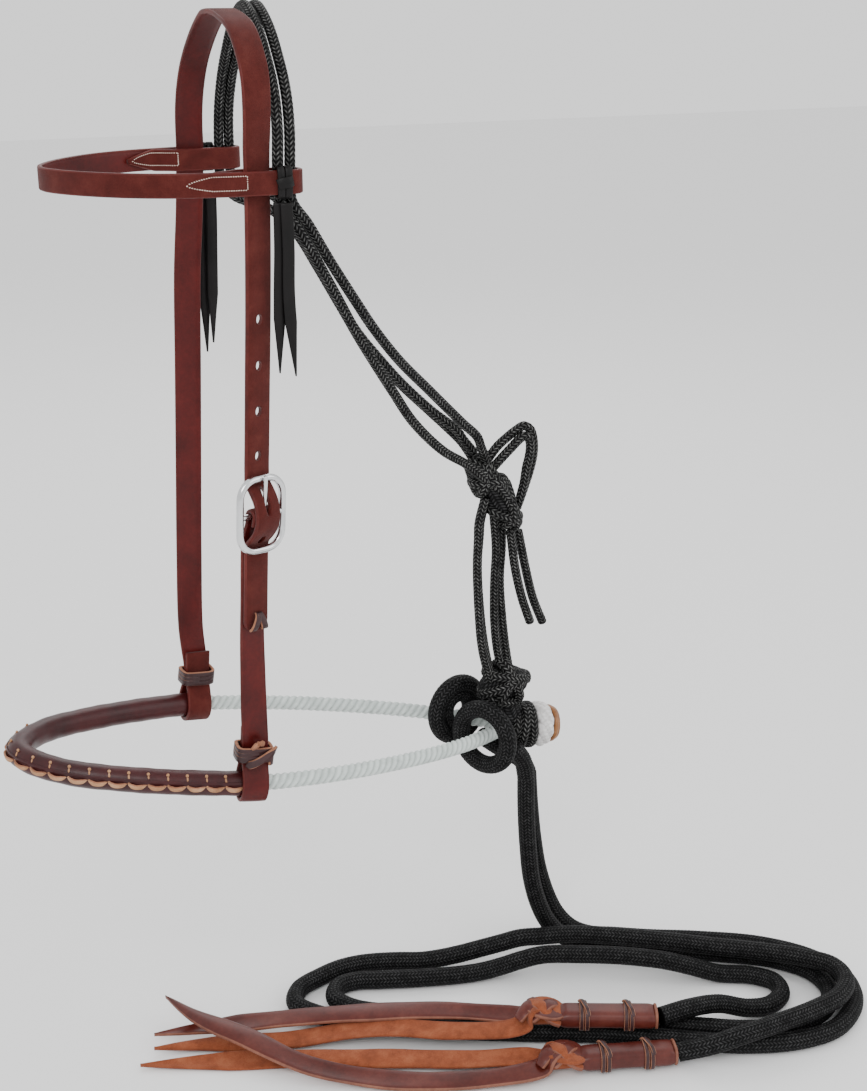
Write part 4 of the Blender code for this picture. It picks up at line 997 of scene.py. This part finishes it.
def knot_turns(word, centre, turn, radii, plan, fat, node):
    """A knot as cord turns on a lump: each turn is a tilted ring over the ellipsoid."""
    centre = Vector(centre)
    for k, (axis, shift, size) in enumerate(plan):
        w = Vector(axis).normalized()
        u = w.orthogonal().normalized()
        t = w.cross(u)
        route = []
        for i in range(40):
            a = 2 * math.pi * i / 40
            d = u * math.cos(a) + t * math.sin(a)
            point = d * size + w * (shift + 0.05 * math.sin(2 * a + k))
            local = Vector((point.x * (radii[0] - fat), point.y * (radii[1] - fat),
                            point.z * (radii[2] - fat)))
            route.append(centre + turn @ local)
        rope("%s_turn_%d" % (word, k + 1), route, fat, CORD, HEAD, node if k == 0 else (),
             weave=CORD_WEAVE, closed=True, sides=24, hint=turn @ w)
    core = [centre + turn @ Vector((x * radii[0] * 0.86, 0, 0)) for x in (-1, -0.5, 0, 0.5, 1)]
    rope(word + "_core", core, min(radii[1], radii[2]) * 0.74, BLACK, HEAD, weave=CORD_WEAVE,
         sides=32, hint=turn @ Vector((0, 1, 0)), ends=(radii[0] * 0.8, radii[0] * 0.8))


THROAT_KNOT, THROAT_TURN = (0.1724, 0.0, -0.2949), math.radians(57.5)
HEEL_KNOT = (0.1815, 0.0, -0.432)
KNOT_STRAND, HEEL_STRAND, BIGHT_R = 0.0034, 0.0036, 0.0031


def make_fiador():
    """The throat hanger: poll strands, knots, bight, risers and loose tails."""
    ends = {"a": ([(0.1655, -0.004, -0.273), (0.16, -0.0062, -0.262)],
                  [(0.152, 0.0044, -0.258), (0.16, 0.004, -0.268)]),
            "b": ([(0.17, -0.008, -0.29), (0.16, -0.0092, -0.281)],
                  [(0.154, 0.0095, -0.262), (0.16, 0.007, -0.272)])}
    for letter, route in POLL.items():
        start, end = ends[letter]
        rope("fiador_poll_cord_" + letter, start + route + end, CORD_R, CORD, HEAD,
             "fiador_poll_strand_" + letter, weave=CORD_WEAVE, sides=24, spacing=0.0007)
    knot_turns("throat_knot", THROAT_KNOT, Matrix.Rotation(THROAT_TURN, 3, "Y"),
               (0.033, 0.0135, 0.013),
               [((1, 0.1, 0.35), -0.58, 0.8), ((1, -0.1, -0.3), -0.26, 0.97),
                ((1, 0.2, 0.5), 0.34, 0.95), ((1, 0, -0.4), 0.6, 0.8),
                ((0.3, 0.35, 1), 0.12, 0.97), ((-0.2, 0.5, 1), -0.14, 0.97)], KNOT_STRAND,
               "fiador_throat_knot")
    bight = mm([(165.5, -280), (171.5, -273.5), (177.5, -267.2), (183.4, -262.5),
                (188.5, -258.8), (193.5, -256.4), (197.5, -259), (199.2, -265), (199, -273),
                (197.2, -281.1), (194.2, -293), (190, -306)])
    mid = Vector((0.1865, 0.0, -0.276))
    for k, (sign, far) in enumerate(((1.0, 0.0022), (-1.0, -0.0022))):
        route = []
        for x, z in bight:
            point = Vector((x, 0.0, z))
            out = (point - mid).normalized() * (0.0028 * sign)
            route.append(point + Vector((out.x, far, out.z)))
        rope("fiador_bight_cord_%d" % (k + 1), route, BIGHT_R, CORD, HEAD,
             "fiador_bight" if k == 0 else (), weave=CORD_WEAVE, sides=24)
    risers = {"near": (mm([(165, -3, -296), (160.5, -3, -313), (160, -3, -323),
                           (159.3, -3, -343.5), (161.4, -3, -376.2), (164, -3, -400),
                           (170, -2.6, -426)]), ((-0.0012, -0.0024), (0.0018, 0.0024))),
              "off": (mm([(176.5, 3, -308), (177.9, 3, -335), (177.4, 3, -357.6),
                          (178.9, 3, -386.4), (181.2, 3, -408), (185, 2.6, -428)]),
                      ((-0.0031, -0.0012), (0.0029, 0.0012)))}
    for word, (riser, shifts) in risers.items():
        for k, (dx, dy) in enumerate(shifts):
            route = [(x + dx * (1 + 0.25 * math.sin(60 * z + k)), y + dy, z) for x, y, z in riser]
            rope("fiador_riser_%s_%d" % (word, k + 1), route, CORD_R, CORD, HEAD,
                 "fiador_riser_" + word if k == 0 else (), weave=CORD_WEAVE, sides=24)
    tails = {"near": mm([(183.8, -4, -328.5), (186.6, -4, -347.2), (192, -4, -369.3),
                         (199.2, -4, -389.7)]),
             "off": mm([(194.1, 4, -332.3), (198.5, 4, -351.9), (204.5, 4, -374.4),
                        (213, 4, -395)])}
    for word, tail in tails.items():
        top = Vector(tail[0]) + (Vector(tail[0]) - Vector(tail[1])).normalized() * 0.008
        rope("fiador_tail_cord_" + word, [top] + tail, CORD_R, CORD, "fiador_end_" + word,
             "fiador_tail_" + word, weave=CORD_WEAVE, sides=24, ends=(0.0008, 0.0014))
    knot_turns("heel_knot", HEEL_KNOT, Matrix.Identity(3), (0.0205, 0.0155, 0.0185),
               [((0.3, 0, 1), 0.45, 0.88), ((-0.3, 0.2, 1), -0.02, 0.99),
                ((0.2, -0.2, 1), -0.5, 0.84), ((1, 0, 0.3), 0.25, 0.96),
                ((1, 0.1, -0.4), -0.3, 0.94)], HEEL_STRAND, "fiador_heel_knot")
    filler = [(0.18, 0.0, -0.44), (0.183, 0.0, -0.45), (0.188, 0.0, -0.46)]
    rope("heel_knot_foot", filler, 0.0105, BLACK, HEAD, weave=CORD_WEAVE, sides=40,
         hint=(0, 1, 0), ends=(0.003, 0.003))


# ---- reins --------------------------------------------------------------------------------------
NEAR_REIN = mm([
    (193, -14, -498), (193, -15, -520), (194, -17, -550), (196.5, -19.2, -578),
    (202.2, -21.4, -600), (209.5, -23.8, -615), (219, -30.3, -624.8), (233, -39.8, LIE),
    (248, -48.8, LIE), (275, -65.5, LIE), (311, -87.5, LIE), (341, -109, LIE), (356, -132, LIE),
    (354, -155, LIE), (336, -171, LIE), (308, -175, LIE), (280, -167, LIE), (252, -151, LIE),
    (219, -130, LIE), (173, -104, LIE), (126, -83, LIE), (79, -58, LIE), (53, -39, LIE),
    (46, -24, LIE), (53, -13, LIE), (66, -12, LIE), (81.4, -17.5, LIE), (107.3, -26.8, LIE),
    (134.4, -35, LIE), (150, -39, LIE + 1), (161.5, -43, LIE + 4), (173.5, -48.5, LIE + 9),
    (187, -55, OVER), (211.6, -65.5, OVER), (235.5, -78, OVER), (260, -91.5, OVER - 2),
    (279, -99.5, LIE + 6), (296, -107, LIE + 0.5), (316, -118, LIE), (326, -131, LIE),
    (322, -144, LIE), (308, -151, LIE), (291, -150, LIE + 2), (270, -146, LIE + 9),
    (246, -147, OVER), (224, -147, OVER)])
OFF_REIN = mm([
    (204, 4, -506), (206, 4, -531), (209, 3, -560), (212.5, 0, -585), (217, -6.5, -605),
    (221.5, -13, -616.5), (229, -20.5, -625), (239.3, -28.5, LIE), (254.3, -37.5, LIE),
    (275, -50, LIE), (307, -67, LIE), (343, -90.5, LIE), (366, -118, LIE), (373, -145, LIE),
    (362, -171, LIE), (334, -189, LIE), (303, -189.5, LIE), (267, -177.5, LIE), (234, -158, LIE),
    (190, -131, LIE), (143, -108, LIE), (97, -84, LIE), (57, -59, LIE), (31, -38, LIE),
    (20, -19, LIE), (27.3, -5, LIE), (45, 2.5, LIE), (61.3, 6.2, LIE), (76.1, 5.5, LIE),
    (89.7, 2, LIE), (102.9, -3, LIE), (115.5, -8.5, LIE), (128.1, -14, LIE + 2),
    (141.7, -18.5, LIE + 4.5), (155.7, -22.5, LIE + 7.5), (169.6, -26.5, LIE + 10.5),
    (182.3, -30.5, OVER), (196.1, -34.5, OVER), (210.1, -38.5, OVER), (223.2, -44, OVER),
    (234.7, -50.5, OVER), (257.7, -65, OVER), (280.2, -80.5, OVER), (299, -94.5, OVER),
    (325, -112.5, OVER), (348, -131, OVER), (361, -148, OVER), (358, -165, OVER),
    (343, -177, OVER), (319, -182, OVER), (288, -184, OVER), (260, -183, LIE + 12),
    (240, -178, LIE + 7), (224, -169.5, LIE + 1.8)])
RINGS = {"near": ((0.16, -0.0155, -0.461), 119, 0.019, 0.02),
         "off": ((0.156, 0.0184, -0.4543), 13, 0.018, 0.019)}
TAIL_W, TAIL_T, TAIL_TILT = 0.0142, 0.0024, 0.2
SLEEVE_ROWS, SLEEVE_PAST, SLEEVE_CORNER = 40, 0.003, 0.62
# Where each popper starts and ends on the floor plan, its height, and its tails above the floor.
POPPERS = {
    "near": dict(
        start=(0.2205, -0.1468), end=(0.1665, -0.1215), z=FLOOR + 0.0214,
        tails=[mm([
            (136, -101.5, 18.3), (100, -79, 17), (50, -58, 16), (0, -34, 10), (-48, -19, 7.5),
            (-75, -12, 6.5)]), mm([
            (134, -114, 16.5), (100, -96, 12.5), (56, -72, 12.5), (2, -50, 4.2), (-48, -31.8, 4),
            (-78, -22.5, 3.8)])]),
    "off": dict(
        start=(0.2215, -0.1685), end=(0.166, -0.15), z=FLOOR + 0.0085,
        tails=[mm([
            (134, -132, 7), (100, -118, 6), (52, -94, 5), (0, -68, 3), (-48, -48.7, 2.7),
            (-90, -33.5, 2.7)]), mm([
            (130, -146, 7), (96, -135, 4), (50, -114, 3.5), (5, -86, 9), (-25, -50, 15),
            (-48, -18, 16), (-60, 12, 15)])]),
}


def make_reins():
    """Each rein's rope, its loop round the noseband and the neck between them."""
    made = {}
    for word, route in (("near", NEAR_REIN), ("off", OFF_REIN)):
        top = Vector(route[0])
        made[word], line = rope(word + "_rein_rope", route, REIN_R + 0.0001, BLACK, HEAD,
                                word + "_rein", weave=REIN_WEAVE, sides=48, spacing=0.0009,
                                hint=(1, 0, 0))
        made[word + "_line"] = line
        hang = {"near": [(0.179, -0.019, -0.47), (0.189, -0.016, -0.484), top],
                "off": [(0.17, 0.015, -0.474), (0.185, 0.01, -0.486),
                        (0.199, 0.005, -0.496), top]}[word]
        rope(word + "_rein_neck", hang, REIN_R + 0.0001, BLACK, HEAD, weave=REIN_WEAVE, sides=48,
             spacing=0.0009, hint=(1, 0, 0), ends=(0.003, 0.0))
    turns = [(word, "loop", *ring, 0.0, REIN_R) for word, ring in RINGS.items()]
    turns += [("off", "inner", *RINGS["off"], 0.0086, 0.0048)]
    for word, part, centre, spin, wide, high, less, fat in turns:
        wide, high = wide - less, high - less
        turn = Matrix.Translation(centre) @ Matrix.Rotation(math.radians(spin), 4, "Z")
        turn = turn @ Matrix.Rotation(math.radians(90), 4, "X")
        ring = [turn @ Vector((wide * math.cos(a), high * math.sin(a), 0.0))
                for a in (2 * math.pi * k / 28 for k in range(28))]
        rope("%s_rein_%s" % (word, part), ring, fat, BLACK, HEAD,
             word + "_rein_ring" if part == "loop" else (),
             weave=REIN_WEAVE, sides=48, spacing=0.0009, closed=True,
             hint=(turn @ Vector((0, 0, 1)) - turn.translation))
    return made


def make_poppers():
    """Each rein's leather end: sleeve, bleed knot, split tails and keepers."""
    held = {"near": [], "off": []}
    for word, plan in POPPERS.items():
        start, end = (Vector((*plan[k], plan["z"])) for k in ("start", "end"))
        ahead = (end - start).normalized()
        side = ahead.cross(Vector(UP)).normalized()

        def spot(forward, across, up):
            return end + ahead * forward + side * across + Vector((0, 0, up))

        rings, total = [], (end - start).length + SLEEVE_PAST
        for i in range(SLEEVE_ROWS + 1):
            share = i / SLEEVE_ROWS
            pinch = 1.0 - 0.35 * max(0.0, (share - 0.9) / 0.1) ** 2
            pinch -= 0.22 * max(0.0, 0.06 - share) / 0.06
            half = (0.008 * (1.0 + 0.02 * math.sin(9 * share)) * (0.92 + 0.08 * pinch),
                    0.0062 * pinch)
            ring = []
            for k in range(40):
                c, d = squared(2 * math.pi * k / 40, SLEEVE_CORNER)
                point = start + ahead * (total * share) + side * (c * half[0])
                ring.append(list(point + Vector((0, 0, d * half[1]))))
            rings.append(ring)
        mesh = loft_mesh(word + "_popper_sleeve", rings, np.linspace(0, total, SLEEVE_ROWS + 1))
        bmesh_out(mesh)
        held[word].append(piece(word + "_popper_sleeve", mesh, [POPPER], HEAD, word + "_popper"))
        lip = []
        for k in range(32):
            c, d = squared(2 * math.pi * k / 32, SLEEVE_CORNER)
            lip.append(start + side * (c * 0.0074) + Vector((0, 0, d * 0.0056)))
        made, _ = rope(word + "_popper_lip", lip, 0.001, POPPER_EDGE, HEAD, closed=True,
                       sides=10, hint=ahead)
        held[word].append(made)
        knot = spot(0.015, 0.0, 0.0)
        for k, tail in enumerate(plan["tails"]):
            route = [Vector((x, y, FLOOR + z)) for x, y, z in tail]
            flip = -1.0 if k else 1.0
            swing = [spot(0.0, 0.003 * flip, 0.003), spot(0.007, -0.005 * flip, 0.0046),
                     spot(0.015, -0.004 * flip, 0.0058), spot(0.0215, 0.003 * flip, 0.005)]
            pull = (knot - route[0]).normalized()
            stations = [(p, side) for p in swing]
            path = [route[0] + pull * 0.01] + route
            for i, point in enumerate(path):
                step = path[min(i + 1, len(path) - 1)] - path[max(i - 1, 0)]
                level = step.cross(Vector(UP)).normalized()
                stations.append((point, level + Vector((0, 0, TAIL_TILT))))
            fleshy = (word == "off") == (k == 0)
            skins = [SUEDE, SUEDE, POPPER] if fleshy else [POPPER, POPPER_EDGE, SUEDE]

            def narrow(v, total_length):
                tip = np.clip((total_length - v) / 0.055, 0.0, 1.0) ** 0.75
                knot_part = np.clip(v / 0.03, 0.0, 1.0)
                ripple = 1.0 + 0.035 * np.sin(v * 61.0) + 0.025 * np.sin(v * 143.0 + 1.0)
                return np.maximum(0.07, tip) * (0.72 + 0.28 * knot_part) * ripple

            def curl(share, flip=flip):
                return -0.0009 * flip * math.sin(share * 9.0) * (0.3 + share)

            name = "%s_popper_tail_%s" % (word, "ab"[k])
            held[word].append(strap(name, stations, TAIL_W, TAIL_T, skins, HEAD, shape=narrow,
                                    spacing=0.0016, groove=0.0, bow=curl))
        folds = [((-0.001, 0.0074, -0.001), (0.0045, 0.0076, 0.003), (0.0105, 0.002, 0.0064),
                  (0.0165, -0.005, 0.0052), (0.021, -0.007, 0.0012)),
                 ((0.003, -0.0074, -0.001), (0.0085, -0.0072, 0.003), (0.0145, -0.001, 0.0072),
                  (0.02, 0.005, 0.0056), (0.0245, 0.0062, 0.0014)),
                 ((0.0115, 0.0076, -0.0012), (0.0165, 0.007, 0.003), (0.0215, 0.0012, 0.0062),
                  (0.0262, -0.004, 0.004), (0.029, -0.0058, 0.0006))]
        for k, fold in enumerate(folds):
            skins = [POPPER, POPPER_EDGE, SUEDE] if k != 1 else [SUEDE, POPPER_EDGE, SUEDE]
            path = [spot(*p) for p in fold]
            stations = []
            for i, point in enumerate(path):
                step = path[min(i + 1, 4)] - path[max(i - 1, 0)]
                stations.append((point, step.cross(Vector(UP)).normalized()))
            name = "%s_bleed_fold_%d" % (word, k + 1)
            held[word].append(strap(name, stations, 0.0098, 0.0024, skins, HEAD, spacing=0.0008,
                                    groove=0.0, bow=lambda share: 0.001,
                                    shape=lambda v, n: 0.72 + 0.28 * np.sin(np.pi * v / n)))
        body = [spot(x, 0, z) for x, z in ((-0.003, -0.0006), (0.006, -0.0006), (0.015, -0.0008),
                                           (0.024, -0.001), (0.031, -0.0012))]
        made, _ = rope(word + "_bleed_core", body, 0.0052, SUEDE, HEAD, sides=28,
                       ends=(0.004, 0.01))
        held[word].append(made)
        for k, share in enumerate((0.3, 0.78)):
            centre = start.lerp(end, share)
            body_name = "%s_keeper_%d" % (word, k + 1)
            node = "%s_popper_keeper_%d" % (word, k + 1)
            for turn, shift in enumerate((-0.0013, 0.0013)):
                route = wound(centre + ahead * shift, side, ahead, (0.0082, 0.0064), 1.0,
                              0.0006, 0.0008, lean=0.0005 * (1 - 2 * turn),
                              start=0.4, corner=0.62)[:-1]
                lace("%s_turn_%d" % (node, turn + 1), route, 0.0027, 0.0013,
                     [LATIGO, LATIGO_EDGE], body_name, node if turn == 0 else (), hint=ahead,
                     closed=True, spacing=0.0008)
            cross = [centre + ahead * a + side * b + Vector((0, 0, c))
                     for a, b, c in ((0.0026, 0.0078, 0.005), (0.0012, 0.005, 0.0083),
                                     (-0.0004, 0.0, 0.0087), (-0.002, -0.005, 0.0083),
                                     (-0.003, -0.0082, 0.005))]
            lace(node + "_tuck", cross, 0.0026, 0.0011, [LATIGO, LATIGO_EDGE], body_name,
                 hint=ahead, ends=(0.001, 0.001), spacing=0.0006)
    return held


def make_room():
    """A pale floor, soft lamps and an even sky."""
    mesh = bpy.data.meshes.new("floor")
    shape = bmesh.new()
    bmesh.ops.create_grid(shape, x_segments=2, y_segments=2, size=6.0)
    shape.to_mesh(mesh)
    shape.free()
    m = Nodes("studio_floor")
    m.set(Base_Color=(0.9, 0.9, 0.9, 1.0), Roughness=0.9, Specular_IOR_Level=0.1)
    mesh.materials.append(m.made)
    ground = bpy.data.objects.new("floor", mesh)
    ground.location = (0.0, 0.0, FLOOR - 0.0003)
    bpy.context.scene.collection.objects.link(ground)
    world = bpy.data.worlds.new("world")
    world.use_nodes = True
    sky = world.node_tree.nodes["Background"]
    sky.inputs["Color"].default_value = (1.0, 1.0, 1.0, 1.0)
    sky.inputs["Strength"].default_value = 1.25
    bpy.context.scene.world = world
    lamps = [("key", (-0.9, -1.4, 1.1), 0.9, 16.0), ("fill", (1.3, -1.0, 0.5), 1.2, 7.0),
             ("rim", (0.6, 1.4, 1.0), 1.0, 9.0)]
    for name, place, size, power in lamps:
        data = bpy.data.lights.new(name, "AREA")
        data.size = size
        data.energy = power
        lamp = bpy.data.objects.new(name, data)
        lamp.location = place
        aim = Vector((0.05, 0.0, -0.35)) - Vector(place)
        lamp.rotation_euler = aim.to_track_quat("-Z", "Y").to_euler()
        bpy.context.scene.collection.objects.link(lamp)


make_camera()
make_room()
make_straps()
make_buckle()
make_cheek_laces()
make_noseband()
make_heel()
make_browband()
make_ties()
make_fiador()
reins = make_reins()
poppers = make_poppers()
